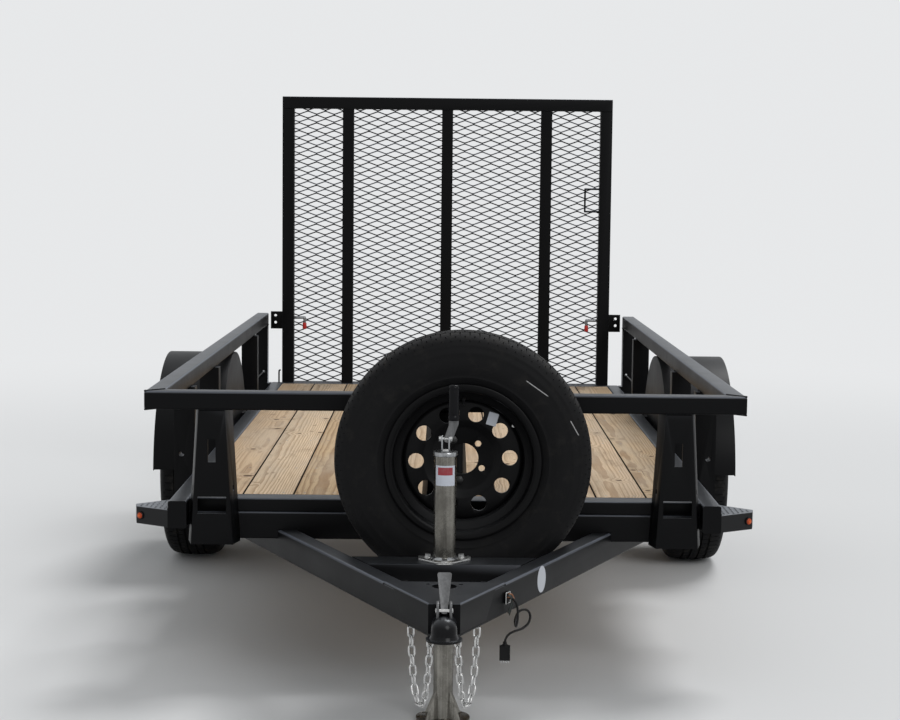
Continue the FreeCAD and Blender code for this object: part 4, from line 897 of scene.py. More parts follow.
# deck boards with eased edges, and their screws
def makeDeck():
    centres = [boards["pitch"] * (index + 0.5) - boards["half"] for index in range(boards["count"])]
    half = (boards["pitch"] - boards["gap"]) / 2
    planks = []
    for centre in centres:
        plank = block((centre - half, boards["front"], boards["under"]),
                      (centre + half, boards["rear"], boards["top"]))
        roundEdges(plank, boards["ease"], 2, 60)
        planks.append(dress(smooth(plank), "pine"))
    mounted("deckBoards", planks, "frame", "pine", "deck_boards")
    model = dress(smooth(lathe(boards["screw"], at(0, 0, boards["top"] - 0.2), upward, 10)), "zinc")
    reach = boards["pitch"] / 2 - boards["screwInset"]
    screws = [copied(model, Matrix.Translation(Vector((x, row, 0)) * mm))
              for centre in centres for row in boards["screwRows"] for x in (centre - reach, centre + reach)]
    drop(model)
    mounted("deckScrews", screws, "frame", "zinc_plate")


makeDeck()
print("trailer: deck")

# wheels: profiles of (across, radius) from the bead or lip to the middle, notches of (column, across from and to,
# radius from and to)
wheels = {
    "tyre": ((74, 190.5), (75.9, 207), (80, 212.5), (86, 217), (91, 223.5), (93.6, 227.5), (93.4, 231), (95.6, 237),
             (99, 248), (101.2, 262), (101, 276), (99.9, 289), (100.4, 291.5), (99.6, 295), (98.3, 302),
             (96.3, 309), (96.6, 311.5), (95.2, 315), (92.6, 321), (89, 326.5), (84, 331.8), (77, 336.2),
             (68, 339.4), (57, 341.6), (46, 342.8), (45, 337.2), (39, 337.2), (38, 343.3), (28, 343.8),
             (18.5, 344), (17.5, 337.4), (12.5, 337.4), (11.5, 344), (0, 344)),
    "pitches": 82, "notchTurn": 0.5, "notchDepth": 3.4, "sideRibs": 260.0, "mouldRings": 1400.0,
    "notches": ((0, 76, 110, 331.5, 350), (0, 20, 36, 338, 350), (1, 48, 110, 337, 350), (1, 87, 110, 322, 331)),
    "paleStreak": (0.5, 0.5, 0.5),
    "marks": ((0.192, 0.201, -0.61, 0.038), (0.292, 0.097, -1.05, 0.024)),
    "rimOut": ((82, 206.2), (80.8, 207.8), (78.8, 207.6), (77.2, 204), (75, 194), (73, 191), (55, 190.5),
               (51, 188.5), (43.5, 171), (40, 167.5), (0, 167)),
    "rimIn": ((82, 203), (80.4, 196), (77.8, 189.5), (72.5, 186), (56, 185.4), (51.5, 183.2), (43, 165.5),
              (38.5, 162.2), (0, 162)),
    "disc": ((0, 41.5), (0, 83), (2.5, 86.5), (13, 101), (16, 105), (16, 150), (12, 158), (4, 164.5), (11, 164.6),
             (20, 159), (23, 151), (23, 107), (21.5, 103), (10, 86.5), (7, 82), (7, 43), (6, 41.5), (0, 41.5)),
    "handCircle": 125.5, "handRadius": 20.75, "handTurn": 18.0, "lugCircle": 57.15, "lugHole": 8.5, "lugTurn": 90.0,
    "left": (915.0, 1800.0, 344.0), "spare": (47.0, -108.0, 651.49), "spareHand": 2.4, "spareLug": 44.8,
    "spareOpen": (0, 4),
    "stem": ((-2, 0), (-2, 7), (2, 7), (4, 5), (10, 4.4), (18, 4.0), (19, 3.2), (30, 3.2), (31, 4.0), (36, 4.0),
             (37, 3.2), (37, 0)), "stemPlace": (36.0, 0.0, 174.5), "stemLean": (0.72, 0, -0.69),
    "hub": ((36, 0), (36, 17.05), (-70, 17.05), (-70, 34), (-68, 36), (-18, 36), (-14, 40), (-12, 70), (-10, 72),
            (-1.5, 72), (0, 70.5), (0, 40.8), (33, 38.6), (35, 36), (40, 35.8), (41, 33.4), (44, 33), (49.6, 30),
            (51.6, 25), (52, 20), (52, 0)),
}


def bothWays(half):
    return list(half) + [(-x, r) for x, r in reversed(half) if x != 0]


def makeTyreModel():
    ring = bothWays(wheels["tyre"])
    thing = drawLine([Vector((x, 0, r)) * mm for x, r in ring + ring[:1]])
    notch = math.radians(wheels["notchTurn"])
    rest = math.pi / wheels["pitches"] - notch
    editAll(thing)
    bpy.ops.mesh.remove_doubles(threshold=weld)
    for turn in (notch, rest, notch, rest):
        bpy.ops.mesh.spin(steps=1, angle=turn, center=(0, 0, 0), axis=across)
    leaveEdit()
    far = max(thing.data.vertices, key=lambda corner: abs(corner.co.y)).co
    sense = 1 if far.y > 0 else -1
    for column, inner, outer, low, high in wheels["notches"]:
        turn = notch / 2 + (notch + rest) * column
        middle = Vector((0, sense * math.sin(turn), math.cos(turn)))

        def inNotch(centre, normal):
            isInColumn = abs(centre.y - middle.y / middle.z * centre.z) < 0.6 * mm
            isInBand = inner < abs(centre.x) / mm < outer and low < centre.yz.length / mm < high
            return isInColumn and isInBand and abs(normal.x) < 0.93

        chooseFaces(thing, inNotch)
        bpy.ops.mesh.extrude_region_move(TRANSFORM_OT_translate={"value": -middle * wheels["notchDepth"] * mm})
        leaveEdit()
    editAll(thing)
    bpy.ops.mesh.spin(steps=wheels["pitches"], angle=2 * math.pi, center=(0, 0, 0), axis=across, dupli=True)
    return smooth(mend(thing), 30)


def circlePlaces(radius, count, first):
    angles = [math.radians(first + 360 / count * index) for index in range(count)]
    return [Vector((0, radius * math.cos(angle), radius * math.sin(angle))) * mm for angle in angles]


def makeRimModel(handTurn, lugTurn, label):
    outside, inside = bothWays(wheels["rimOut"]), bothWays(wheels["rimIn"])
    barrel = lathe(outside + inside[::-1] + outside[:1], Vector(), across, 96)
    disc = lathe(wheels["disc"], Vector(), across, 96)
    holes = ((wheels["handRadius"], 40, circlePlaces(wheels["handCircle"], 10, handTurn)),
             (wheels["lugHole"], 24, circlePlaces(wheels["lugCircle"], 5, lugTurn)))
    cutter = joined("cutter", [drum(place + across * 10 * mm, across, radius, 60, sides)
                               for radius, sides, places in holes for place in places])
    pick(disc)
    carve = disc.modifiers.new("holes", "BOOLEAN")
    carve.operation, carve.object, carve.solver = "DIFFERENCE", cutter, "EXACT"
    bpy.ops.object.modifier_apply(modifier="holes")
    drop(cutter)
    roundEdges(disc, 1.1, 2, 50)
    parts = [dress(smooth(part, 40), "rim") for part in (barrel, disc)]
    stem = lathe(wheels["stem"], Vector(wheels["stemPlace"]) * mm, Vector(wheels["stemLean"]), 16)
    parts.append(dress(smooth(stem), "cord"))
    return joined(label, parts)


def makeNutModel(length, finish):
    nut = drum(Vector((0.007 + length * 0.00035, 0, 0)), across, 11.0, length * 0.7, 6)
    insetFaces(nut, lambda centre, normal: normal.x > 0.9, [(1.2, 0.5), (1.4, length * 0.13), (3, length * 0.08)])
    return dress(smooth(nut, 40), finish)


def wheelTurns():
    flip = Matrix.Rotation(math.pi, 4, "Z")
    spare = Matrix.Rotation(-math.pi / 2, 4, "Z")
    left = at(*wheels["left"])
    right = Vector((-left.x, left.y, left.z))
    return [("wheel_left", Matrix.Translation(left), "wheel_left"),
            ("wheel_right", Matrix.Translation(right) @ flip, "wheel_right"),
            ("spare", Matrix.Translation(at(*wheels["spare"])) @ spare, "frame")]


def makeWheels():
    tyre = makeTyreModel()
    rolling = makeRimModel(wheels["handTurn"], wheels["lugTurn"], "rollingRim")
    still = makeRimModel(wheels["spareHand"], wheels["spareLug"], "stillRim")
    longNut, shortNut = makeNutModel(22.0, "bright"), makeNutModel(14.0, "nut")
    hub = dress(smooth(lathe(wheels["hub"], Vector(), across, 56)), "hub")
    for name, matrix, body in wheelTurns():
        isSpare = name == "spare"
        rubber = tyreRubber(name + "Rubber", matrix.translation, "y" if isSpare else "x",
                            wheels["marks"] if isSpare else ())
        mounted(name + "Tread", [dress(copied(tyre, matrix), rubber)], body, "tyre_rubber", name + "_tyre")
        rim = copied(still if isSpare else rolling, matrix)
        mounted(name + "Disc", [rim], body, "rim_paint", name + "_rim")
        turn = wheels["spareLug"] if isSpare else wheels["lugTurn"]
        nuts = [copied(shortNut if isSpare else longNut, matrix @ Matrix.Translation(place))
                for index, place in enumerate(circlePlaces(wheels["lugCircle"], 5, turn))
                if not isSpare or index not in wheels["spareOpen"]]
        if isSpare:
            mounted("spareNuts", nuts, body, "zinc_plate", "spare_nuts")
        else:
            mounted(name + "Hub", nuts + [copied(hub, matrix)], body, "hub_metal", name + "_hub")
    for model in (tyre, rolling, still, longNut, shortNut, hub):
        drop(model)


makeWheels()
print("trailer: wheels")

# jack: tube with its cap, flange plate and bolts, blank label with its band's heights and half width, and the grip
jack = {"y": -335.0, "low": 346.0, "top": 703.0, "tube": 28.5, "bore": 25.46, "cap": 31.5, "flangeZ": 419.1,
        "flange": ((-68, -4), (-18, -58), (18, -58), (68, -4), (68, 34), (-68, 34)), "flangeThick": 6.0,
        "bolts": ((-43, 14), (43, 14), (0, -45)), "labelLow": 617.0, "labelHigh": 669.0, "labelHalf": 54.0,
        "band": (644.0, 664.0, 18.5), "gripX": 20.0, "gripLow": 782.0, "grip": 15.5, "pivotRise": 32.0,
        "crankPlate": 9.0, "lug": (7.0, 11.0), "lugDeep": 10.0, "lugHigh": 41.0, "lugRound": 30.0}


def makeJack():
    y, r, cap = jack["y"], jack["tube"], jack["cap"]
    under, base = jack["low"] - jack["top"], at(0, y, jack["top"])
    tube = lathe([(-6, 0), (-6, jack["bore"]), (under, jack["bore"]), (under, r), (-6, r), (-6, 0)], base, upward, 72)
    lid = lathe([(-12, r - 1), (-12, r + 1), (-11.4, cap - 0.6), (-10.4, cap), (-3, cap), (-0.8, cap - 1.2),
                 (0, cap - 3.4), (0, 0), (-8, 0), (-8, r - 1), (-12, r - 1)], base, upward, 72)
    flange = plateFrom([at(x, y + back, jack["flangeZ"]) for x, back in jack["flange"]],
                       Vector((0, 0, jack["flangeThick"] * mm)))
    roundEdges(flange, 6.0, 4, 30, alongAxis(upward))
    roundEdges(flange, 0.8, 2, 50)
    onFlange = jack["flangeZ"] + jack["flangeThick"]
    collar = lathe([(0, r), (0, r + 6), (1.6, r + 5), (4.6, r + 1.6), (6, r), (0, r)], at(0, y, onFlange), upward, 72)
    parts = [dress(smooth(tube), "tube"), dress(smooth(lid), "zinc"), dress(smooth(flange), "bright"),
             dress(smooth(collar, 50), "zinc")]
    for x, back in jack["bolts"]:
        parts.append(fastener(at(x, y + back, onFlange), upward, 8.0, 6.8, 10.5, "bright"))
    rivet = drum(at(0, y - jack["cap"], jack["top"] - 5.5), along, 2.0, 1.6, 14)
    parts.append(dress(smooth(rivet), "zinc"))
    mounted("jackBody", parts, "frame", "zinc_plate", "jack_body")


def makeJackLabel():
    low, high = jack["labelLow"], jack["labelHigh"]
    inside, outside = jack["tube"] + 0.1, jack["tube"] + 0.3
    skin = lathe([(low, inside), (low, outside), (high, outside), (high, inside), (low, inside)], at(0, jack["y"], 0),
                 upward, 96)
    reach = math.sin(math.radians(jack["labelHalf"])) * (jack["tube"] + 1)
    for side in (-1, 1):
        cutAway(skin, at(side * reach, jack["y"], 0), across * side)
    cutAway(skin, at(0, jack["y"], 0), along)
    bandLow, bandHigh, bandHalf = jack["band"]
    dress(smooth(skin), blankLabel("jackLabel", bandLow * mm, bandHigh * mm, bandHalf * mm))
    mounted("jackLabel", [skin], "frame", "zinc_plate")


def makeCrank():
    top, y, half = jack["top"], jack["y"], jack["crankPlate"] / 2
    pivot = top + jack["pivotRise"]
    parts = []
    inner, outer = jack["lug"]
    front, back = y - jack["lugDeep"], y + jack["lugDeep"]
    for side in (-1, 1):
        low, high = sorted((side * inner, side * outer))
        lug = block((low, front, top - 0.5), (high, back, top + jack["lugHigh"]))
        roundEdges(lug, 8.5, 5, 30, topCorners(top + jack["lugRound"]))
        parts.append(dress(smooth(roundEdges(lug, 0.7, 2, 50)), "zinc"))
    floor = block((-outer, front, top - 0.5), (outer, back, top + 6))
    parts.append(dress(smooth(roundEdges(floor, 1.2, 2, 50)), "bright"))
    low = jack["gripLow"]
    arm = plateFrom([at(x, y - half, z) for x, z in ((-5, pivot - 2), (-2, pivot - 8), (12, pivot - 11),
                                                     (17, pivot - 5), (33, low - 8), (33, low + 3), (7.5, low + 3),
                                                     (7.5, low - 12))], along * half * 0.002)
    insetFaces(arm, lambda centre, normal: normal.y < -0.9, [(2.2, -1.2)])
    parts.append(dress(smooth(roundEdges(arm, 0.9, 2, 50)), "dull"))
    parts.append(dress(smooth(drum(at(0, y, pivot), across, 4.0, 35.0, 20)), "bright"))
    for side in (-1, 1):
        parts.append(fastener(at(side * outer, y, pivot), across * side, 6.8, 4.6, 8.4, "bright"))
    mounted("jackCrank", parts, "frame", "zinc_plate", "jack_crank")


def makeGrip():
    r = jack["grip"]
    profile = [(0, 0), (0, r - 4), (0.8, r - 1.2), (3, r), (12, r), (13, r - 1), (15, r - 1), (16, r - 0.3),
               (30, r - 1.2), (60, r - 2), (78, r - 1.4), (80, r - 2.2), (82, r - 1.2), (87, r - 1.2), (90.4, r - 3),
               (92, r - 6.5), (92, 0)]
    grip = lathe(profile, at(jack["gripX"], jack["y"], jack["gripLow"]), upward, 40)
    mounted("jackGrip", [dress(smooth(grip, 50), "gripPlastic")], "frame", "black_plastic", "jack_grip")


makeJack()
makeJackLabel()
makeCrank()
makeGrip()
print("trailer: jack")

# coupler lever: a dished plate between two cheeks
lever = {"y": -881.0, "top": 403.0, "rise": 45.0, "length": 112.0, "near": 14.0, "far": 34.0, "plate": 4.0,
         "lift": 3.0, "cheekLow": 398.0, "cheekHigh": 435.0, "cheekRound": 420.0, "cheekIn": 12.0,
         "cheekOut": 18.0, "cheekFront": 10.0, "cheekBack": 22.0, "pin": 10.0, "pinBack": 6.0}


def makeLever():
    half, run = lever["near"] / 2, lever["length"]
    plate = block((-half, lever["y"], lever["top"]), (half, lever["y"] + run, lever["top"] + lever["plate"]))
    chooseFaces(plate, lambda centre, normal: normal.y > 0.9)
    bpy.ops.transform.resize(value=(lever["far"] / lever["near"], 1, 1),
                             center_override=at(0, lever["y"] + run, lever["top"]))
    leaveEdit()
    roundEdges(plate, 5.0, 4, 30, alongAxis(upward))
    insetFaces(plate, lambda centre, normal: abs(normal.z) > 0.9, [(2.8, -1)])
    roundEdges(plate, 0.5, 2, 50)
    pivot = at(0, lever["y"], lever["top"])
    turn = Matrix.Translation(pivot + Vector((0, 0, lever["lift"] * mm)))
    turn = turn @ Matrix.Rotation(math.radians(lever["rise"]), 4, "X") @ Matrix.Translation(-pivot)
    leaf = copied(smooth(plate), turn)
    drop(plate)
    parts = [dress(leaf, "dull")]
    for side in (-1, 1):
        low, high = sorted((side * lever["cheekIn"], side * lever["cheekOut"]))
        cheek = block((low, lever["y"] - lever["cheekFront"], lever["cheekLow"]),
                      (high, lever["y"] + lever["cheekBack"], lever["cheekHigh"]))
        roundEdges(cheek, 9.0, 4, 30, topCorners(lever["cheekRound"]))
        parts.append(dress(smooth(roundEdges(cheek, 0.7, 2, 50)), "dull"))
    pinY, pinZ = lever["y"] + lever["pinBack"], lever["top"] + lever["pin"]
    parts.append(dress(smooth(drum(at(0, pinY, pinZ), across, 5.0, 38.0, 24)), "bright"))
    for side in (-1, 1):
        parts.append(fastener(at(side * lever["cheekOut"], pinY, pinZ), across * side, 6.5, 1.9, 0, "bright"))
    mounted("couplerLever", parts, "frame", "zinc_plate", "coupler_lever")


makeLever()

# safety chains: round links that hang as the CAD's do
chains = {"length": 23.6, "seat": 0.3, "wire": 4.2, "round": 5.0, "gap": 11.0, "count": 17, "tolerance": 0.0001,
          "ends": (-690.0, -790.0), "slope": 0.47597, "half": 436.0, "skew": 56.26, "z": 342.9}


def jointReaches(turns):
    leans = [-math.pi / 2] + turns + [math.pi / 2]
    losses = [chains["wire"] * math.tan((after - before) / 2) for before, after in zip(leans, leans[1:])]
    return [(chains["length"] - chains["seat"] - loss) / 2 for loss in losses]


def hangingTurns(span):
    low, high = 0.0, span
    while high - low > chains["tolerance"]:
        pull = (low + high) / 2
        turns = [math.atan((index - (chains["count"] - 1) / 2) / pull) for index in range(chains["count"])]
        reaches = jointReaches(turns)
        lengths = [before + after for before, after in zip(reaches, reaches[1:])]
        if sum(length * math.cos(turn) for length, turn in zip(lengths, turns)) < span:
            low = pull
        else:
            high = pull
    return turns


def makeLinkModel(openHalf):
    wire, ring = chains["round"] / 2 * mm, (chains["gap"] + chains["wire"]) / 2 * mm
    leaveEdit()
    bpy.ops.mesh.primitive_torus_add(major_radius=ring, minor_radius=wire, major_segments=20, minor_segments=8)
    link = settle(bpy.context.object)
    stretch = (chains["length"] + chains["wire"]) / 2 * mm - ring
    for side in (-1, 1):
        pick(link)
        unmark(link.data)
        for corner in link.data.vertices:
            corner.select = corner.co.x * side > 0.0001
        edit("VERT")
        bpy.ops.transform.translate(value=(side * stretch, 0, 0))
        leaveEdit()
    if openHalf:
        cutAway(link, (0, 0, 0), across)
    return dress(smooth(link, 60), "bright")


def frameOf(centre, first, second):
    third = first.cross(second)
    return Matrix.Translation(centre) @ Matrix((first, second, third)).transposed().to_4x4()


def makeChains():
    link, eye = makeLinkModel(False), makeLinkModel(True)
    ends = []
    for y in chains["ends"]:
        x = chains["half"] + chains["slope"] * y - chains["skew"] / 2
        ends.append(Vector((x, y, chains["z"])))
    run = ends[1] - ends[0]
    level = run.normalized()
    flat = level.cross(upward)
    turns = hangingTurns(run.length)
    reaches = jointReaches(turns)
    joint = ends[0] - upward * reaches[0]
    parts = []
    for index, turn in enumerate(turns):
        lie = level * math.cos(turn) + upward * math.sin(turn)
        side = flat if index % 2 == 0 else lie.cross(flat)
        centre = joint + lie * reaches[index]
        parts.append(copied(link, frameOf(at(*centre), lie, side)))
        joint = joint + lie * (reaches[index] + reaches[index + 1])
    for end in ends:
        parts.append(copied(eye, frameOf(at(*end), upward, level)))
    drop(link)
    drop(eye)
    mounted("safetyChains", parts + twinsOf(parts), "frame", "zinc_plate", "safety_chains")


makeChains()
print("trailer: lever and chains")

# gate: tube frame, expanded metal, dipped caps on the latches
gate = {"half": 717.0, "tube": 50.8, "bottom": 457.0, "top": 1753.0, "front": 3062.0, "meshY": 3106.5,
        "long": 76.2, "short": 33.9, "strand": 2.6, "thick": 1.7, "bond": 7.0, "lean": 1.1,
        "capX": 620.2, "capY": 3087.4, "capTop": 768.0, "capLow": 740.0, "capRadius": 9.0}


def makeGateFrame():
    piece = softened("gate_frame", 4.0, 3, 35, lambda run, middle, length: length > 0.04)
    mounted("gateFrameTube", [dress(piece, "black")], "gate", "black_paint", "gate_frame")


# one strand runs from bond to bond; it is drawn once, mirrored, then repeated along and up
def makeGateMesh():
    half, rise, edge = gate["long"] / 2, gate["short"] / 2, gate["strand"]
    stations = [(0, edge), (gate["bond"] / 2, edge + 0.3), (half - gate["bond"] / 2, rise - edge - 0.3),
                (half, rise - edge)]
    leaveEdit()
    bpy.ops.mesh.primitive_plane_add(size=1)
    strand = bpy.context.object
    strand.scale = (mm, mm, mm)
    settle(strand)
    corners = [(-gate["thick"] - gate["lean"], -edge), (gate["thick"] - gate["lean"], -edge),
               (gate["thick"] + gate["lean"], edge), (-gate["thick"] + gate["lean"], edge)]
    for corner, (depth, height) in zip((0, 1, 3, 2), corners):
        strand.data.vertices[corner].co = Vector((stations[0][0], depth, stations[0][1] + height)) * mm
    for before, after in zip(stations, stations[1:]):
        pick(strand)
        unmark(strand.data)
        for corner in strand.data.vertices:
            corner.select = abs(corner.co.x - before[0] * mm) < weld / 2
        edit("VERT")
        bpy.ops.mesh.extrude_region_move(
            TRANSFORM_OT_translate={"value": Vector((after[0] - before[0], 0, after[1] - before[1])) * mm})
        leaveEdit()
    editAll(strand, "FACE")
    bpy.ops.mesh.delete_loose()
    leaveEdit()
    chooseFaces(strand, lambda centre, normal: min(abs(centre.x), abs(centre.x - half * mm)) < weld / 2)
    bpy.ops.mesh.delete(type="FACE")
    leaveEdit()
    mend(strand)
    pick(strand)
    for name, axes in (("sideways", (True, False, False)), ("upDown", (False, False, True))):
        twin = strand.modifiers.new(name, "MIRROR")
        twin.use_axis, twin.use_mirror_merge, twin.merge_threshold = axes, True, weld
        bpy.ops.object.modifier_apply(modifier=name)
    columns = int(2 * (gate["half"] - gate["tube"]) / gate["long"]) + 3
    rows = int((gate["top"] - gate["bottom"] - 2 * gate["tube"]) / gate["short"]) + 3
    repeated(strand, columns, across * gate["long"] * mm, True)
    repeated(strand, rows, upward * gate["short"] * mm, True)
    shift = at(-(columns - 1) * gate["long"] / 2, gate["meshY"], gate["bottom"] + gate["tube"] - gate["short"] / 2)
    sheet = copied(strand, Matrix.Translation(shift))
    drop(strand)
    inner = gate["half"] - gate["tube"] + 1.0
    cuts = [((-inner, 0, 0), -across), ((inner, 0, 0), across),
            ((0, 0, gate["bottom"] + gate["tube"] - 1.0), -upward), ((0, 0, gate["top"] - gate["tube"] + 1.0), upward)]
    for place, normal in cuts:
        cutAway(sheet, at(*place), normal, False)
    mounted("gateExpandedMetal", [dress(smooth(sheet, 40), "black")], "gate", "black_paint", "gate_mesh")


def makeGateCaps():
    r = gate["capRadius"]
    long = gate["capTop"] - gate["capLow"]
    cap = lathe([(0, 0), (0, r - 3.2), (0.8, r - 1.4), (2.4, r - 0.3), (5, r), (long - 3, r - 0.6), (long - 1, r - 1.2),
                 (long, r - 2.6), (long, 0)], at(gate["capX"], gate["capY"], gate["capLow"]), upward, 32)
    dress(smooth(cap, 50), "redDip")
    mounted("gateLatchCaps", [cap] + twinsOf([cap]), "gate", "red_plastic", "gate_latch_caps")


makeGateFrame()
makeGateMesh()
makeGateCaps()
print("trailer: gate")


# grommet where the cord leaves the rail, with the loose wires seen beside it
def makeGrommet():
    piece = dress(softened("wiring_grommet", 1.2, 2, 50), "plastic")
    run = Vector((tongueRun["left"][0], 1, 0)).normalized()
    outward = Vector((run.y, -run.x, 0))
    seat = at(*wiring["route"][0])

    def spot(forward, out, up):
        return seat + (outward * out - run * forward + upward * up) * mm

    ring = [spot(forward, 6.3, up) for corner in wiring["ring"] for forward, up in (corner, corner)]
    parts = [piece, rod(ring + ring[:2], 1.3, "bright", 4)]
    for index, (forward, up) in enumerate(wiring["darkWires"]):
        parts.append(rod([spot(forward, 3, up), spot(forward, 9, up + 0.5), spot(forward - 2, 15, up - 3),
                          spot(forward - 4, 16, up - 16 - index), spot(forward - 3, 11, up - 30 - 3 * index),
                          spot(forward - 1, 7, up - 42 - 4 * index)], 1.6, "wire"))
    for index, (forward, up) in enumerate(wiring["copperWires"]):
        parts.append(rod([spot(forward, 3, up), spot(forward - 2, 9, up + 0.5), spot(forward - 7, 15, up - 3),
                          spot(forward - 11, 15, up - 11 - 2 * index)], 2.0, "copper"))
    mounted("wiringGrommet", parts, "frame", "black_plastic", "wiring_grommet")


makeGrommet()


# small things: blank stickers, the rim's clip, and pins in the rear posts
small = {"oval": (247.5, -396.0, 385.5), "ovalHalf": (27.0, 34.0), "rimLabel": (124.8, 760.6),
         "rimLabelHalf": (13.5, 17.5), "rimLabelTurn": -16.0, "rimFace": -131.5, "clip": (180.6, -130.6, 742.9),
         "loop": ((-729.2, 3050.0, 500.0), (-729.2, 3050.0, 530.0), (-729.2, 3050.0, 556.0), (-727.4, 3050.0, 561.0),
                  (-721.5, 3050.0, 561.0)),
         "pin": ((-822.0, 2986.0, 528.0), (-790.0, 2986.0, 559.0)),
         "bracket": ((-802.0, 2986.0, 541.0), (-794.0, 2998.0, 553.0))}


def makeStickers():
    outward = Vector((1, -tongueRun["left"][0], 0)).normalized()
    disc = insetFaces(drum(upward * 0.1 * mm, upward, 1.0, 0.8, 48), lambda centre, normal: normal.z > 0.9,
                      [(0.12, 0.06)])
    wide, tall = small["ovalHalf"]
    oval = copied(disc, Matrix.Diagonal((wide, tall, 1, 1)))
    sticker = dress(smooth(copied(oval, frameOf(at(*small["oval"]), upward.cross(outward), upward))), "sticker")
    drop(disc)
    drop(oval)
    mounted("ovalSticker", [sticker], "frame", "black_paint")
    x, z = small["rimLabel"]
    halfX, halfZ = small["rimLabelHalf"]
    tag = block((x - halfX, small["rimFace"] - 0.4, z - halfZ), (x + halfX, small["rimFace"] + 0.4, z + halfZ))
    roundEdges(tag, 2.0, 3, 40, alongAxis(along))
    pivot = at(x, small["rimFace"], z)
    turned = copied(tag, Matrix.Translation(pivot) @ Matrix.Rotation(math.radians(-small["rimLabelTurn"]), 4, "Y")
                    @ Matrix.Translation(-pivot))
    drop(tag)
    mounted("rimSticker", [dress(smooth(turned), "sticker")], "frame", "rim_paint")


# zinc bolts that stand out of the rear posts
def makePins():
    head, tip = at(*small["pin"][1]), at(*small["pin"][0])
    run = (tip - head).normalized()
    parts = [fastener(head, -run, 6.0, 4.5, 7.5, "zinc"),
             dress(smooth(drum((head + tip) / 2, run, 3.0, (tip - head).length / mm, 20)), "dull"),
             dress(smooth(drum(tip - run * 0.009, run, 5.4, 5.5, 6)), "dull")]
    parts.append(dress(smooth(roundEdges(block(*small["bracket"]), 0.8, 2, 50)), "black"))
    both = parts + twinsOf(parts)
    both.append(rod([at(*point) for point in small["loop"]], 3.5, "black"))
    both.append(fastener(at(*small["clip"]), -along, 4.2, 2.4, 0, "bright"))
    mounted("rearPins", both, "frame", "zinc_plate")


makeStickers()
makePins()

# weld beads: a row of flattened drops along each seam, in drawing millimetres
welds = {
    "radius": 3.0, "pitch": 2.6, "squash": 0.55, "sides": 8, "rings": 5,
    "posts": ((557.0, 50.0), (1150.0, 50.0), (2430.0, 50.0)), "rearPost": (2997.2, 50.8),
    "topRail": (774.7, 825.5, 761.2), "sideRail": (762.0, 436.0, 504.0, 508.0, 431.8),
    "crossmembers": (584.2, 1193.8, 1803.4, 2413.0),
    "frame": (((824, 1.5, 812), (776, 49.5, 812)), ((824, 1.5, 761.2), (776, 49.5, 761.2)),
              ((607, 0.5, 761.2), (675, 0.5, 761.2)), ((-34, 0.5, 761.2), (34, 0.5, 761.2)),
              ((690, 60, 393), (600, 60, 393)), ((762, 6, 484), (762, 186, 484)), ((762, 6, 434), (762, 186, 434)),
              ((711.2, 58, 434), (711.2, 58, 466)), ((464.6, 60, 419.1), (408.3, 60, 419.1)),
              ((30, -853, 345), (30, -853, 353)), ((147.4, -621, 419.6), (90, -621, 424.4))),
}


def makeDropModel():
    leaveEdit()
    bpy.ops.mesh.primitive_uv_sphere_add(segments=welds["sides"], ring_count=welds["rings"],
                                         radius=welds["radius"] * mm)
    thing = bpy.context.object
    thing.scale = (welds["squash"], 1, 1)
    return settle(thing)


def bead(model, start, end):
    first, last = at(*start), at(*end)
    run = last - first
    count = max(2, int(run.length / mm / welds["pitch"]))
    lean = run.to_track_quat("X", "Z").to_matrix().to_4x4()
    return repeated(copied(model, Matrix.Translation(first) @ lean), count, run / (count - 1))


def frameSeams():
    inner, outer, under = welds["topRail"]
    side, low, high, top, below = welds["sideRail"]
    seams = list(welds["frame"])
    for y, depth in welds["posts"] + (welds["rearPost"],):
        seams.append(((outer, y, under), (outer, y + depth, under)))
        seams += [((inner, edge, under), (outer, edge, under)) for edge in (y, y + depth)]
    for y, depth in welds["posts"]:
        seams += [((side, y, top), (side, y + depth, top)), ((side + 2, y, below), (side + 2, y + depth, below))]
        seams += [((side, edge, low), (side, edge, high)) for edge in (y, y + depth)]
    return seams + [((boards["half"], y, 421), (boards["half"], y, 466)) for y in welds["crossmembers"]]


def makeWelds():
    model = makeDropModel()
    dress(smooth(model, 60), "weld")
    frameBeads = [bead(model, start, end) for start, end in frameSeams()]
    mounted("frameWelds", frameBeads + twinsOf(frameBeads), "frame", "black_paint")
    y, half = gate["front"] + 1, gate["half"]
    levels = (gate["bottom"] + gate["tube"], gate["top"] - gate["tube"])
    gateBeads = [bead(model, (x - 24, y, z), (x + 24, y, z)) for x in (0.0, 431.0) for z in levels]
    gateBeads.append(bead(model, (half, y + 3, 744), (half, y + 3, 816)))
    gateBeads += [bead(model, (half - 49, y, z), (half - 2, y, z)) for z in levels]
    gateBeads += twinsOf(gateBeads[2:])
    mounted("gateWelds", gateBeads, "gate", "black_paint")
    drop(model)


makeWelds()
print("trailer: welds")

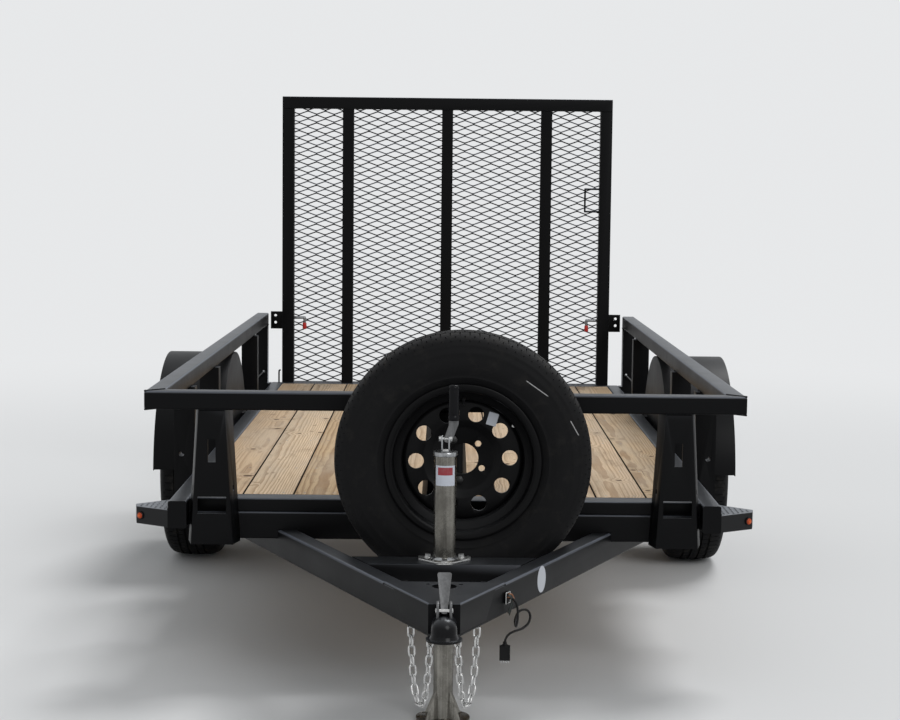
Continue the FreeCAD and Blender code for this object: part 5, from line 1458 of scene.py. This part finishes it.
# plain pale floor that fades into the background far off, and soft studio light
studio = {"floor": (0.68, 0.685, 0.69), "back": (0.8, 0.81, 0.82), "size": 90.0, "fadeFrom": 3.6, "fadeTo": 8.5,
          "sky": (0.97, 0.99, 1.0), "ambient": 0.52,
          "suns": (("keySun", (1.6, 2.2, 4.2), 1.5, 22.0), ("frontSun", (3.0, -4.4, 3.4), 0.85, 30.0))}


def makeFloor():
    leaveEdit()
    bpy.ops.mesh.primitive_plane_add(size=studio["size"], location=(0, 0, 0))
    floor = bpy.context.object
    floor.name = "studioFloor"
    bench = Bench("studioFloor")
    far = farFrom(*bench.parts(bench.place())[:2])
    pale = bench.make("ShaderNodeBsdfPrincipled", {}, {"Base Color": colour(*studio["floor"]), "Roughness": 0.95,
                                                       "Specular IOR Level": 0.1})
    glow = bench.make("ShaderNodeEmission", {}, {"Color": colour(*studio["back"]), "Strength": 1.0})
    mixed = bench.make("ShaderNodeMixShader", {}, {0: bench.step(far, studio["fadeFrom"], studio["fadeTo"]),
                                                   1: pale, 2: glow})
    bench.show(mixed)
    floor.data.materials.append(bench.material)


def sunLight(name, source, strength, spread):
    data = bpy.data.lights.new(name, "SUN")
    data.energy, data.angle = strength, math.radians(spread)
    light = linked(name, data)
    light.location = source
    light.rotation_euler = (-Vector(source)).to_track_quat("-Z", "Y").to_euler()


def makeWorld():
    world = bpy.data.worlds.new("studioWorld")
    bpy.context.scene.world = world
    bench = Bench("studioWorld", world)
    seen = bench.make("ShaderNodeLightPath", outlet="Is Camera Ray")
    outlets = seen.socket.node.outputs
    for outlet in ("Is Glossy Ray", "Is Transmission Ray"):
        seen = seen.reckon("MAXIMUM", seen, Wire(bench, outlets[outlet]))
    soft = bench.make("ShaderNodeBackground", {}, {"Color": colour(*studio["sky"]), "Strength": studio["ambient"]})
    plain = bench.make("ShaderNodeBackground", {}, {"Color": colour(*studio["back"])})
    bench.show(bench.make("ShaderNodeMixShader", {}, {0: seen, 1: soft, 2: plain}), "ShaderNodeOutputWorld")


makeFloor()
makeWorld()
for sun in studio["suns"]:
    sunLight(*sun)
print("trailer: floor and light")
